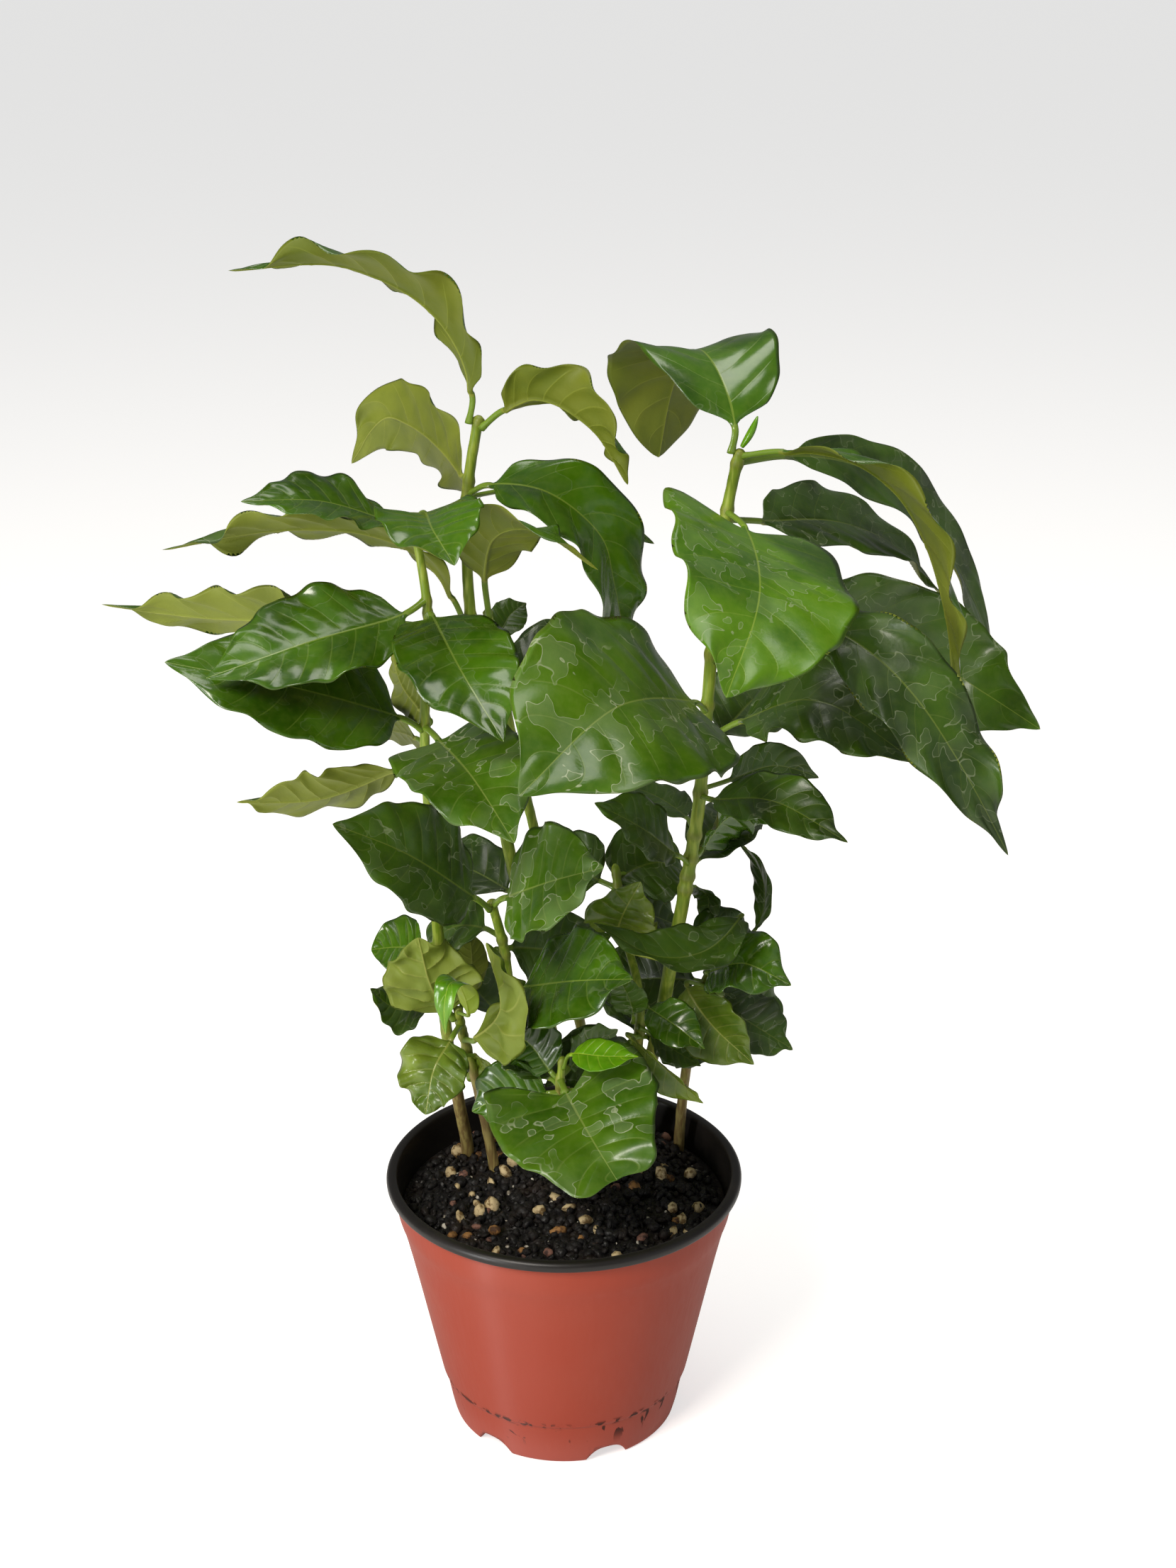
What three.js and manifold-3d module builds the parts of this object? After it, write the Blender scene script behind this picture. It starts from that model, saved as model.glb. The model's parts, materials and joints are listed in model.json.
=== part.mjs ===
// A coffee plant in its nursery pot: several seedlings share one round plastic pot.
// Millimetres, +Z up. The origin is the middle of the pot's foot, on the surface it stands on.

import * as THREE from 'three';
import { mergeVertices } from 'three/addons/utils/BufferGeometryUtils.js';
import Module from 'manifold-3d';

const wasm = await Module();
wasm.setup();

// ---- driving dimensions ----

// pot
const potHeight = 92;
const rimRadius = 60;
const lipWidth = 2.6;
const lipDepth = 3.4;
const collarDepth = 15;
const shoulderRise = 4;
const shoulderInset = 3.2;
const footRadius = 38.8;
const footBandHeight = 17;
const footBandInset = 0.9;
const footBandRadius = 42.6;
const footRingWidth = 4;
const panelRise = 3;
const potWall = 1.2;
const drainCount = 6;
const drainWidth = 15;
const drainHeight = 5.5;
const drainPhase = 0.867;

// soil
const soilDrop = 10;
const soilCrown = 2.5;
const soilEdgeBevel = 2;
const socketDepth = 12;

// plants
const stemSides = 6;
const stemSteps = 12;
const petioleRadius = 1.0;
const leafThickness = 0.6;
const midribDepth = 0.7;
const budLength = 11;
const budRadius = 1.5;

// clearance between pieces that touch in the real plant
const gap = 0.3;

// ---- heights that follow from them ----

const soilTop = potHeight - soilDrop;
const panelTop = panelRise + potWall;
const ROUND = 48;

// ---- the pot's outer outline, from the foot up: radius and height ----

const potOutline = [
  [footRadius - 1.2, 0],
  [footRadius, 1.2],
  [footBandRadius - footBandInset, footBandHeight - 1],
  [footBandRadius, footBandHeight],
  [rimRadius - lipWidth - shoulderInset, potHeight - collarDepth - shoulderRise],
  [rimRadius - lipWidth - 0.8, potHeight - collarDepth + shoulderRise / 2],
  [rimRadius - lipWidth, potHeight - lipDepth],
];

/** Outer radius of the pot at a height, read along the outline. */
function potRadiusAt(height) {
  const above = potOutline.findIndex((point) => point[1] >= height);
  if (above === -1) {
    return potOutline.at(-1)[0];
  }
  if (above === 0) {
    return potOutline[0][0];
  }
  const [r0, h0] = potOutline[above - 1];
  const [r1, h1] = potOutline[above];
  return r0 + ((r1 - r0) * (height - h0)) / (h1 - h0);
}

// ---- solids ----

/** Closes a geometry's seams so that only positions and shared corners are left. */
function welded(geometry) {
  const bare = geometry.clone();
  for (const attribute of Object.keys(bare.attributes)) {
    if (attribute !== 'position') {
      bare.deleteAttribute(attribute);
    }
  }
  return mergeVertices(bare, 1e-4);
}

/** Makes a solid for cutting from a closed geometry. */
function toSolid(geometry) {
  const mesh = welded(geometry);
  return new wasm.Manifold(new wasm.Mesh({
    numProp: 3,
    vertProperties: Float32Array.from(mesh.attributes.position.array),
    triVerts: Uint32Array.from(mesh.index.array),
  }));
}

/** Turns a cut solid back into a geometry. */
function toGeometry(solid) {
  const { vertProperties, triVerts } = solid.getMesh();
  const geometry = new THREE.BufferGeometry();
  geometry.setAttribute('position', new THREE.BufferAttribute(vertProperties, 3));
  geometry.setIndex(new THREE.BufferAttribute(triVerts, 1));
  geometry.computeVertexNormals();
  return geometry;
}

/** Turns an outline of [radius, height] about the Z axis. */
function turned(outline, segments) {
  const points = outline.map(([radius, height]) => new THREE.Vector2(radius, height));
  return new THREE.LatheGeometry(points, segments).rotateX(Math.PI / 2);
}

/**
 * Skins rings that all have the same number of points, running anticlockwise seen from the
 * far end. The first ring is closed flat, and the last by its apex, or flat without one.
 * On a thin blade the faces below split along the same diagonals as the faces above them, so
 * that a twisted blade keeps its thickness.
 */
function loft(rings, apex, isBlade = false) {
  const count = rings[0].length;
  const corners = rings.flat();
  const faces = [];
  for (let j = 2; j < count; j += 1) {
    faces.push(0, j, j - 1);
  }
  for (let i = 0; i < rings.length - 1; i += 1) {
    for (let j = 0; j < count; j += 1) {
      const a = i * count + j;
      const b = i * count + ((j + 1) % count);
      if (isBlade && j >= count / 2) {
        faces.push(a, b, a + count, b, b + count, a + count);
      } else {
        faces.push(a, b, b + count, a, b + count, a + count);
      }
    }
  }
  const last = (rings.length - 1) * count;
  if (apex) {
    corners.push(apex);
    for (let j = 0; j < count; j += 1) {
      faces.push(last + j, last + ((j + 1) % count), corners.length - 1);
    }
  } else {
    for (let j = 2; j < count; j += 1) {
      faces.push(last, last + j - 1, last + j);
    }
  }
  const geometry = new THREE.BufferGeometry().setFromPoints(corners);
  geometry.setIndex(faces);
  geometry.computeVertexNormals();
  return geometry;
}

// ---- pot ----

/** One thin-walled shell with a rolled lip, a foot ring and drain slots at the lower corner. */
function makePot() {
  const inside = (height) => potRadiusAt(height) - potWall;
  const lipBottom = potHeight - lipDepth;
  const outline = [
    [0, panelRise],
    [footRadius - footRingWidth, panelRise],
    [footRadius - footRingWidth + 0.8, 0],
    ...potOutline,
    [rimRadius, lipBottom],
    [rimRadius, potHeight - 0.8],
    [rimRadius - 0.8, potHeight],
    [inside(lipBottom) + 0.6, potHeight],
    [inside(lipBottom), potHeight - 0.8],
    [inside(potOutline[5][1]), potOutline[5][1]],
    [inside(potOutline[4][1]), potOutline[4][1]],
    [inside(footBandHeight), footBandHeight],
    [inside(panelTop + 1), panelTop + 1],
    [inside(panelTop + 1) - 1, panelTop],
    [0, panelTop],
  ];
  let shell = toSolid(turned(outline, ROUND));
  for (let k = 0; k < drainCount; k += 1) {
    const slot = new THREE.BoxGeometry(footRingWidth * 3, drainWidth, drainHeight * 2);
    slot.translate(footRadius, 0, 0);
    slot.rotateZ(((k + drainPhase) / drainCount) * 2 * Math.PI);
    shell = shell.subtract(toSolid(slot));
  }
  return toGeometry(shell);
}

// ---- stems: waypoints above the soil, [x, y, height], and the radii at foot and top ----

const stemPlans = {
  tallLeft: {
    name: 'stem_tall_left',
    way: [[2, 40, 0], [-8, 34, 60], [-22, 20, 140], [-29, 15, 201], [-29, 15, 241], [-25, 14, 264]],
    radii: [2.4, 1.6],
  },
  tallLeftInner: {
    name: 'stem_tall_left_inner',
    way: [[12, 46, 0], [0, 42, 70], [-16, 30, 150], [-24, 22, 200]],
    radii: [2.0, 1.5],
  },
  tallRight: {
    name: 'stem_tall_right',
    way: [[22, 32, 0], [31, 14, 50], [36, 2, 90], [43, 0, 138], [46, 0, 186], [50, 0, 237], [54, 0, 257]],
    radii: [2.5, 1.7],
  },
  left: {
    name: 'stem_left',
    way: [[-34, 26, 0], [-39, 12, 50], [-41, 3, 99], [-43, -3, 169], [-41, -5, 209], [-45, -3, 236]],
    radii: [2.2, 1.3],
  },
  fork: {
    name: 'stem_fork',
    way: [[-13, 28, 0], [-16, 12, 36], [-19, 2, 88], [-23, -5, 111]],
    radii: [2.0, 1.5],
  },
  frontLeft: {
    name: 'stem_front_left',
    way: [[-24, 12, 0], [-29, 10, 33], [-34, 6, 59], [-35, 2, 69]],
    radii: [1.9, 1.4],
  },
  front: {
    name: 'stem_front',
    way: [[2, 17, 0], [2, 16, 5], [1, -6, 32], [-1, -20, 52], [0, -21, 63]],
    radii: [1.9, 1.2],
  },
  middleBack: {
    name: 'stem_middle_back',
    way: [[22, 44, 0], [25, 16, 45], [25, 8, 72], [20, 18, 90], [17, 22, 112]],
    radii: [1.8, 1.3],
  },
  lowRight: {
    name: 'stem_low_right',
    way: [[40, 30, 0], [42, 24, 35], [47, 19, 66], [52, 22, 86]],
    radii: [1.9, 1.4],
  },
};

/** The stem's centre line as a curve, standing upright in the soil at its foot. */
function stemCurve(plan) {
  const points = plan.way.map(([x, y, height]) => new THREE.Vector3(x, y, soilTop + height));
  const [x, y] = plan.way[0];
  const buried = new THREE.Vector3(x, y, soilTop - socketDepth + gap);
  return new THREE.CatmullRomCurve3([buried, ...points], false, 'centripetal');
}

/** Centre, direction and radius of a stem at a height above the soil. */
function stemAt(plan, height) {
  const curve = stemCurve(plan);
  const samples = 400;
  let best = { miss: Infinity, t: 0 };
  for (let i = 0; i <= samples; i += 1) {
    const t = i / samples;
    const miss = Math.abs(curve.getPoint(t).z - soilTop - height);
    if (miss < best.miss) {
      best = { miss, t };
    }
  }
  const share = THREE.MathUtils.clamp(height / plan.way.at(-1)[2], 0, 1);
  return {
    centre: curve.getPoint(best.t),
    along: curve.getTangent(best.t),
    radius: THREE.MathUtils.lerp(plan.radii[0], plan.radii[1], share),
  };
}

/** A ring of points about a centre, across a direction. */
function ringAbout(centre, along, radius, sides) {
  const across = new THREE.Vector3(1, 0, 0).addScaledVector(along, -along.x).normalize();
  const other = new THREE.Vector3().crossVectors(along, across);
  return Array.from({ length: sides }, (_, j) => {
    const angle = (j / sides) * 2 * Math.PI;
    return centre.clone()
      .addScaledVector(across, radius * Math.cos(angle))
      .addScaledVector(other, radius * Math.sin(angle));
  });
}

/** A tapering stem along its curve. */
function makeStem(plan) {
  const curve = stemCurve(plan);
  const rings = [];
  for (let i = 0; i <= stemSteps; i += 1) {
    const t = i / stemSteps;
    const centre = curve.getPoint(t);
    const share = THREE.MathUtils.clamp((centre.z - soilTop) / plan.way.at(-1)[2], 0, 1);
    const radius = THREE.MathUtils.lerp(plan.radii[0], plan.radii[1], share);
    rings.push(ringAbout(centre, curve.getTangent(t), radius, stemSides));
  }
  return loft(rings);
}

// ---- soil ----

/** The soil fills the pot up to its level, with a socket round the foot of every stem. */
function makeSoil() {
  const reach = (height) => potRadiusAt(height) - potWall - gap;
  const bottom = panelTop + gap;
  const outline = [
    [0, bottom],
    [reach(bottom + 1) - 1.6, bottom],
    [reach(bottom + 2), bottom + 2],
    [reach(footBandHeight), footBandHeight],
    [reach(potOutline[4][1]), potOutline[4][1]],
    [reach(potOutline[5][1]) - gap, Math.min(potOutline[5][1], soilTop - soilEdgeBevel)],
    [reach(soilTop) - 2 * soilEdgeBevel, soilTop],
    [0, soilTop + soilCrown],
  ];
  let soil = toSolid(turned(outline, ROUND));
  for (const plan of Object.values(stemPlans)) {
    const [x, y] = plan.way[0];
    const width = plan.radii[0] + gap;
    const socket = new THREE.CylinderGeometry(width + soilCrown / 2, width, socketDepth * 2, 12);
    socket.rotateX(Math.PI / 2);
    socket.translate(x, y, soilTop);
    soil = soil.subtract(toSolid(socket));
  }
  return toGeometry(soil);
}

// ---- leaves ----

// How the half width runs from blade base to tip: sin(pi * u^lead)^full, u from 0 to 1.
const LONG = { lead: 0.88, full: 0.85, lobe: 0 };
const BROAD = { lead: 0.78, full: 0.7, lobe: 0 };
const HEART = { lead: 0.62, full: 0.6, lobe: 0.32 };
const SMALL = { lead: 0.85, full: 0.8, lobe: 0 };

// Stations along the blade from its base to near the tip, and the points across a section:
// how far out each is, from the left margin over the top to the right margin and back below.
const bladeStations = [0, 0.08, 0.21, 0.36, 0.51, 0.66, 0.8, 0.92];
const sectionAcross = [-1, -0.5, 0, 0.5, 1, 0.5, 0, -0.5];
const sectionFace = [0, 1, 1, 1, 0, -1, -1, -1];

// One row a leaf. `at` is the height above the soil where the stalk leaves its stem, and `rib`
// the midrib from blade base to tip, above the soil. `side` points to the right margin at the
// blade's middle, seen on its upper face with the tip ahead. `fold` lifts both margins, in
// degrees, and `ripple` waves them, in millimetres.
const leafPlan = [
  // leaves of tallLeft
  { name: 'crown_left', stem: 'tallLeft', at: 263, shape: LONG,
    rib: [[-27, 13, 271], [-31, 11, 286], [-42, 8, 300], [-65, 4, 311], [-97, 0, 310]],
    side: [-0.4, 0.9, -0.2], half: 18, fold: 12, ripple: 1.6, waves: 3 },
  { name: 'crown_right', stem: 'tallLeft', at: 262, shape: LONG,
    rib: [[-17, 9, 267], [-6, 2, 272], [10, -6, 264], [20, -8, 248]],
    side: [-0.1, -0.8, 0.6], half: 15, fold: 22, ripple: 1.4, waves: 2 },
  { name: 'crown_back', stem: 'tallLeft', at: 243, shape: BROAD,
    rib: [[-31, 30, 241], [-37, 46, 244], [-47, 64, 248], [-60, 82, 248], [-73, 97, 229]],
    side: [0.1, 0, -1], half: 14, fold: 10, ripple: 1.5, waves: 2 },
  { name: 'node_right', stem: 'tallLeft', at: 241, shape: BROAD,
    rib: [[-22, 8, 244], [-6, 2, 244], [12, 0, 230], [17, -2, 210], [21, 6, 190]],
    side: [-0.4, -0.8, -0.4], half: 16, fold: 12, ripple: 1.2, waves: 3 },
  { name: 'node_back', stem: 'tallLeft', at: 238, shape: LONG,
    rib: [[-16, 30, 237], [1, 44, 230], [17, 54, 220], [30, 56, 212]],
    side: [-0.4, 0.7, -0.6], half: 11, fold: 8, ripple: 1, waves: 2 },
  { name: 'under_left', stem: 'tallLeft', at: 200, shape: LONG,
    rib: [[-34, 11, 207], [-42, 12, 219], [-60, 14, 227], [-91, 14, 228], [-123, 6, 224]],
    side: [0, 0.9, -0.5], half: 17, fold: 6, ripple: 1.8, waves: 3 },
  // leaves of tallLeftInner
  { name: 'side_upright', stem: 'tallLeftInner', at: 201, shape: BROAD,
    rib: [[-24, 9, 214], [-19, -12, 234], [-6, -27, 239], [11, -33, 229]],
    side: [-1, 0, 0.2], half: 13, fold: 10, ripple: 1.5, waves: 2 },
  // leaves of left
  { name: 'top_left', stem: 'left', at: 234, shape: LONG,
    rib: [[-49, -5, 235], [-71, -12, 244], [-94, -20, 246]],
    side: [-0.2, 0.9, 0.3], half: 13, fold: 10, ripple: 1, waves: 3 },
  { name: 'top_front', stem: 'left', at: 235, shape: BROAD,
    rib: [[-41, -10, 240], [-37, -30, 240], [-30, -46, 234]],
    side: [-1, -0.2, -0.1], half: 16, fold: 18, ripple: 1, waves: 2 },
  { name: 'mid_left', stem: 'left', at: 211, shape: BROAD,
    rib: [[-47, -11, 209], [-74, -26, 205], [-104, -40, 198]],
    side: [-0.5, 0.7, 0.5], half: 18, fold: 8, ripple: 1, waves: 3 },
  { name: 'mid_front', stem: 'left', at: 207, shape: BROAD,
    rib: [[-39, -14, 209], [-29, -42, 201], [-16, -64, 187]],
    side: [-0.9, -0.4, -0.1], half: 18, fold: 10, ripple: 0.8, waves: 2 },
  { name: 'mid_back', stem: 'left', at: 202, shape: LONG,
    rib: [[-52, 10, 199], [-89, 26, 195], [-120, 34, 194], [-149, 34, 198]],
    side: [0.2, 0.7, -0.7], half: 16, fold: 8, ripple: 2.2, waves: 3 },
  { name: 'low_left', stem: 'left', at: 170, shape: BROAD,
    rib: [[-50, -10, 175], [-77, -22, 188], [-117, -34, 201]],
    side: [-0.1, 0.8, 0.6], half: 21, fold: 8, ripple: 1, waves: 3 },
  { name: 'low_front', stem: 'left', at: 170, shape: HEART,
    rib: [[-38, -16, 170], [-26, -46, 169], [-13, -72, 159]],
    side: [-0.9, -0.3, -0.3], half: 19, fold: 10, ripple: 0.8, waves: 2 },
  { name: 'low_olive', stem: 'left', at: 158, shape: LONG,
    rib: [[-53, 6, 152], [-78, 8, 141], [-104, 2, 142]],
    side: [0.3, 0.7, -0.6], half: 17, fold: 6, ripple: 0.8, waves: 2 },
  { name: 'left_round', stem: 'left', at: 91, shape: BROAD,
    rib: [[-46, 3, 90], [-55, 4, 90], [-63, 4, 89]],
    side: [0.1, 0.9, 0.5], half: 12, fold: 8, ripple: 0.6, waves: 1 },
  // leaves of fork
  { name: 'fork_left', stem: 'fork', at: 110, shape: BROAD,
    rib: [[-28, -14, 116], [-48, -30, 138], [-69, -38, 151]],
    side: [0.1, 0.7, 0.7], half: 18, fold: 8, ripple: 1, waves: 2 },
  { name: 'fork_right', stem: 'fork', at: 111, shape: BROAD,
    rib: [[-18, -12, 115], [-3, -24, 126], [13, -32, 134]],
    side: [-0.1, -0.8, -0.7], half: 20, fold: 10, ripple: 0.8, waves: 2 },
  { name: 'fork_low', stem: 'fork', at: 76, shape: BROAD,
    rib: [[-13, -7, 81], [4, -25, 92], [22, -38, 99]],
    side: [-0.3, -0.7, -0.6], half: 19, fold: 8, ripple: 0.8, waves: 2 },
  // leaves of frontLeft
  { name: 'crinkled_up', stem: 'frontLeft', at: 66, shape: BROAD,
    rib: [[-38, 1, 68], [-43, -10, 84], [-46, -14, 102]],
    side: [-1, 0, -0.3], half: 16, fold: 8, ripple: 1.6, waves: 3 },
  { name: 'crinkled_low', stem: 'frontLeft', at: 62, shape: BROAD,
    rib: [[-37, -6, 61], [-42, -14, 55], [-45, -18, 40]],
    side: [-1, 0.2, 0.1], half: 12, fold: 8, ripple: 1.4, waves: 3 },
  { name: 'folded_light', stem: 'frontLeft', at: 56, shape: BROAD,
    rib: [[-28, -14, 66], [-19, -27, 84], [-24, -22, 104]],
    side: [-0.1, 0.8, 0.6], half: 12, fold: 30, ripple: 0.8, waves: 2 },
  { name: 'young_tip', stem: 'frontLeft', at: 69, shape: SMALL,
    rib: [[-30, -22, 79], [-31, -34, 93], [-34, -42, 101], [-36, -46, 94], [-36, -44, 83]],
    side: [-0.6, 0.7, -0.2], half: 5, fold: 10, ripple: 0.4, waves: 1 },
  // leaves of front
  { name: 'heart_front', stem: 'front', at: 55, shape: HEART,
    rib: [[1, -30, 55], [9, -50, 50], [17, -64, 43]],
    side: [-0.9, -0.3, -0.3], half: 27, fold: 8, ripple: 1.2, waves: 3 },
  { name: 'heart_back', stem: 'front', at: 52, shape: BROAD,
    rib: [[-4, -17, 53], [-13, -8, 58], [-22, -4, 65]],
    side: [0.5, 0.9, 0.1], half: 13, fold: 8, ripple: 1, waves: 2 },
  { name: 'bright_young', stem: 'front', at: 61, shape: SMALL,
    rib: [[3, -27, 67], [13, -34, 70], [24, -38, 72]],
    side: [-0.2, -0.8, -0.5], half: 6, fold: 8, ripple: 0.5, waves: 1 },
  // leaves of middleBack
  { name: 'small_glossy', stem: 'middleBack', at: 69, shape: SMALL,
    rib: [[28, 0, 70], [36, -8, 68], [46, -14, 62]],
    side: [-0.6, -0.6, -0.5], half: 8, fold: 10, ripple: 0.5, waves: 1 },
  { name: 'narrow_folded', stem: 'middleBack', at: 55, shape: SMALL,
    rib: [[22, -4, 61], [31, -12, 56], [46, -14, 42]],
    side: [-0.2, 0.4, -0.9], half: 7, fold: 34, ripple: 0.4, waves: 1 },
  { name: 'back_right', stem: 'middleBack', at: 108, shape: BROAD,
    rib: [[21, 26, 107], [29, 40, 104], [38, 52, 103]],
    side: [0.5, -0.4, -0.7], half: 5, fold: 8, ripple: 0.8, waves: 2 },
  { name: 'back_olive', stem: 'middleBack', at: 86, shape: BROAD,
    rib: [[18, 8, 93], [20, -2, 106], [25, -4, 117]],
    side: [0.9, 0.1, -0.4], half: 12, fold: 8, ripple: 1.6, waves: 3 },
  // leaves of lowRight
  { name: 'folded_olive', stem: 'lowRight', at: 69, shape: LONG,
    rib: [[41, 10, 73], [48, 2, 64], [63, -4, 51]],
    side: [-0.7, 0, -0.7], half: 11, fold: 24, ripple: 0.8, waves: 2 },
  { name: 'low_dark', stem: 'lowRight', at: 66, shape: BROAD,
    rib: [[52, 18, 63], [63, 14, 57], [77, 10, 49]],
    side: [-0.4, -0.8, -0.3], half: 13, fold: 8, ripple: 0.8, waves: 2 },
  { name: 'right_glossy', stem: 'lowRight', at: 75, shape: BROAD,
    rib: [[48, 8, 79], [59, -2, 87], [74, -8, 82]],
    side: [-0.5, -0.7, -0.6], half: 13, fold: 8, ripple: 1, waves: 2 },
  { name: 'curved_dark', stem: 'lowRight', at: 80, shape: LONG,
    rib: [[64, 22, 88], [67, 22, 101], [64, 26, 111], [57, 30, 118]],
    side: [0.5, -0.8, 0.4], half: 5, fold: 8, ripple: 0.6, waves: 1 },
  { name: 'saddle', stem: 'lowRight', at: 84, shape: LONG,
    rib: [[58, 6, 100], [47, -10, 96], [31, -16, 96], [10, -14, 107]],
    side: [-0.3, 0.9, 0.3], half: 11, fold: 18, ripple: 0.8, waves: 2 },
  // leaves of tallRight
  { name: 'stem_left', stem: 'tallRight', at: 123, shape: LONG,
    rib: [[36, -10, 129], [25, -20, 142], [10, -26, 153]],
    side: [0, 0.8, 0.6], half: 11, fold: 12, ripple: 1, waves: 3 },
  { name: 'stem_up', stem: 'tallRight', at: 123, shape: LONG,
    rib: [[45, 6, 124], [54, 12, 133], [63, 12, 135], [71, 10, 131]],
    side: [0.1, 0.6, -0.8], half: 14, fold: 10, ripple: 0.8, waves: 1 },
  { name: 'stem_back', stem: 'tallRight', at: 132, shape: BROAD,
    rib: [[40, 14, 132], [31, 32, 132], [20, 46, 131]],
    side: [0.8, 0.6, 0.3], half: 7, fold: 8, ripple: 0.6, waves: 1 },
  { name: 'lower_right', stem: 'tallRight', at: 146, shape: LONG,
    rib: [[47, -8, 147], [65, -22, 152], [87, -36, 144]],
    side: [-0.6, -0.6, -0.5], half: 11, fold: 10, ripple: 0.8, waves: 2 },
  { name: 'big_front', stem: 'tallRight', at: 175, shape: BROAD,
    rib: [[41, -10, 180], [16, -52, 193], [-11, -88, 180]],
    side: [-0.6, 0.5, 0.6], half: 33, fold: 8, ripple: 1.6, waves: 4 },
  { name: 'big_right', stem: 'tallRight', at: 166, shape: BROAD,
    rib: [[56, -2, 171], [78, -14, 182], [109, -24, 165]],
    side: [-0.5, -0.7, -0.5], half: 18, fold: 8, ripple: 1.2, waves: 3 },
  { name: 'long_droop', stem: 'tallRight', at: 192, shape: LONG,
    rib: [[60, -14, 205], [83, -28, 208], [104, -42, 193], [121, -48, 168], [134, -46, 144]],
    side: [-0.8, -0.4, -0.5], half: 14, fold: 8, ripple: 1.8, waves: 4 },
  { name: 'far_right', stem: 'tallRight', at: 193, shape: BROAD,
    rib: [[71, 22, 197], [108, 36, 186], [133, 34, 171], [151, 4, 166]],
    side: [-0.4, -0.1, -0.9], half: 20, fold: 8, ripple: 1.6, waves: 3 },
  { name: 'center_bright', stem: 'tallRight', at: 238, shape: HEART,
    rib: [[55, -12, 236], [56, -62, 229], [45, -100, 213]],
    side: [-0.9, -0.1, 0.4], half: 30, fold: 6, ripple: 1.4, waves: 3 },
  { name: 'behind_bright', stem: 'tallRight', at: 235, shape: BROAD,
    rib: [[62, 14, 231], [87, 40, 224], [110, 60, 210], [130, 68, 188]],
    side: [0.4, -0.8, -0.5], half: 16, fold: 8, ripple: 1.4, waves: 3 },
  { name: 'crown_arch', stem: 'tallRight', at: 256, shape: LONG,
    rib: [[66, -7, 258], [83, -13, 258], [101, -18, 246], [114, -20, 217], [120, -20, 183]],
    side: [-0.1, -0.9, 0.3], half: 15, fold: 14, ripple: 1, waves: 2 },
  { name: 'crown_far', stem: 'tallRight', at: 253, shape: LONG,
    rib: [[69, 16, 251], [91, 36, 244], [118, 60, 222], [140, 76, 186], [152, 80, 156]],
    side: [0, -0.7, -0.7], half: 13, fold: 10, ripple: 1.6, waves: 3 },
  { name: 'crown_folded', stem: 'tallRight', at: 257, shape: BROAD,
    rib: [[52, -1, 264], [48, 10, 277], [41, 28, 282], [35, 46, 267], [31, 56, 241]],
    side: [0.9, 0.3, 0], half: 23, fold: 10, ripple: 1, waves: 2 },
];

/** The frame at each station of a blade: its side vector carried along the midrib. */
function sideVectors(tangents, side) {
  const middle = Math.floor(tangents.length / 2);
  const square = (vector, along) => vector.clone()
    .addScaledVector(along, -vector.dot(along))
    .normalize();
  const sides = [];
  sides[middle] = square(new THREE.Vector3(...side), tangents[middle]);
  for (let i = middle + 1; i < tangents.length; i += 1) {
    sides[i] = square(sides[i - 1], tangents[i]);
  }
  for (let i = middle - 1; i >= 0; i -= 1) {
    sides[i] = square(sides[i + 1], tangents[i]);
  }
  return sides;
}

/** Where a leaf stalk starts: clear of its stem by the gap, on the side it leaves to. */
function stalkStart(plan, at, next) {
  const { centre, along, radius } = stemAt(plan, at);
  const away = next.clone().sub(centre);
  const out = away.clone().addScaledVector(along, -away.dot(along)).normalize();
  const lean = Math.sqrt(Math.max(0, 1 - (away.normalize().dot(out)) ** 2));
  return centre.addScaledVector(out, radius + gap + petioleRadius * lean);
}

/** One leaf: a round stalk that widens into a thin blade with a raised midrib below. */
function makeLeaf(leaf) {
  const ribPoints = leaf.rib.map(([x, y, height]) => new THREE.Vector3(x, y, soilTop + height));
  const start = stalkStart(stemPlans[leaf.stem], leaf.at, ribPoints[0]);
  const controls = [start, ...ribPoints];
  const curve = new THREE.CatmullRomCurve3(controls, false, 'centripetal');
  const samples = 40 * (controls.length - 1);
  const lengths = curve.getLengths(samples);
  const bladeStart = lengths[40] / lengths.at(-1);

  const places = [0, ...bladeStations.map((u) => bladeStart + (1 - bladeStart) * u)];
  const tangents = places.map((place) => curve.getTangentAt(place));
  tangents[0] = ribPoints[0].clone().sub(start).normalize();
  const sides = sideVectors(tangents, leaf.side);
  const { lead, full, lobe } = leaf.shape;
  const lift = Math.tan(THREE.MathUtils.degToRad(leaf.fold));

  const rings = places.map((place, i) => {
    const centre = i === 0 ? start : curve.getPointAt(place);
    const along = tangents[i];
    const side = sides[i];
    const up = new THREE.Vector3().crossVectors(side, along);
    const u = i === 0 ? 0 : bladeStations[i - 1];
    const stalkShare = i === 0 ? 1 : Math.max(0, 1 - u * 6);
    const width = Math.max(petioleRadius, leaf.half * Math.sin(Math.PI * u ** lead) ** full);
    const thick = THREE.MathUtils.lerp(leafThickness / 2, petioleRadius * 0.9, stalkShare);
    return sectionAcross.map((across, j) => {
      const margin = Math.abs(across);
      const wave = Math.sin(2 * Math.PI * leaf.waves * u + (across < 0 ? 0 : 1.9));
      const rise = (1 - stalkShare) * margin * (lift * width + margin * leaf.ripple * wave);
      const ribShare = across === 0 && sectionFace[j] < 0 ? midribDepth * (1 - u) : 0;
      const back = lobe * leaf.half * margin * margin * Math.max(0, 1 - u * 3) * (i > 1 ? 1 : 0);
      return centre.clone()
        .addScaledVector(side, across * width)
        .addScaledVector(up, rise + sectionFace[j] * (thick + ribShare))
        .addScaledVector(along, -back);
    });
  });
  return loft(rings, curve.getPointAt(1), true);
}

// ---- bud at the top of the tall right stem ----

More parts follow.
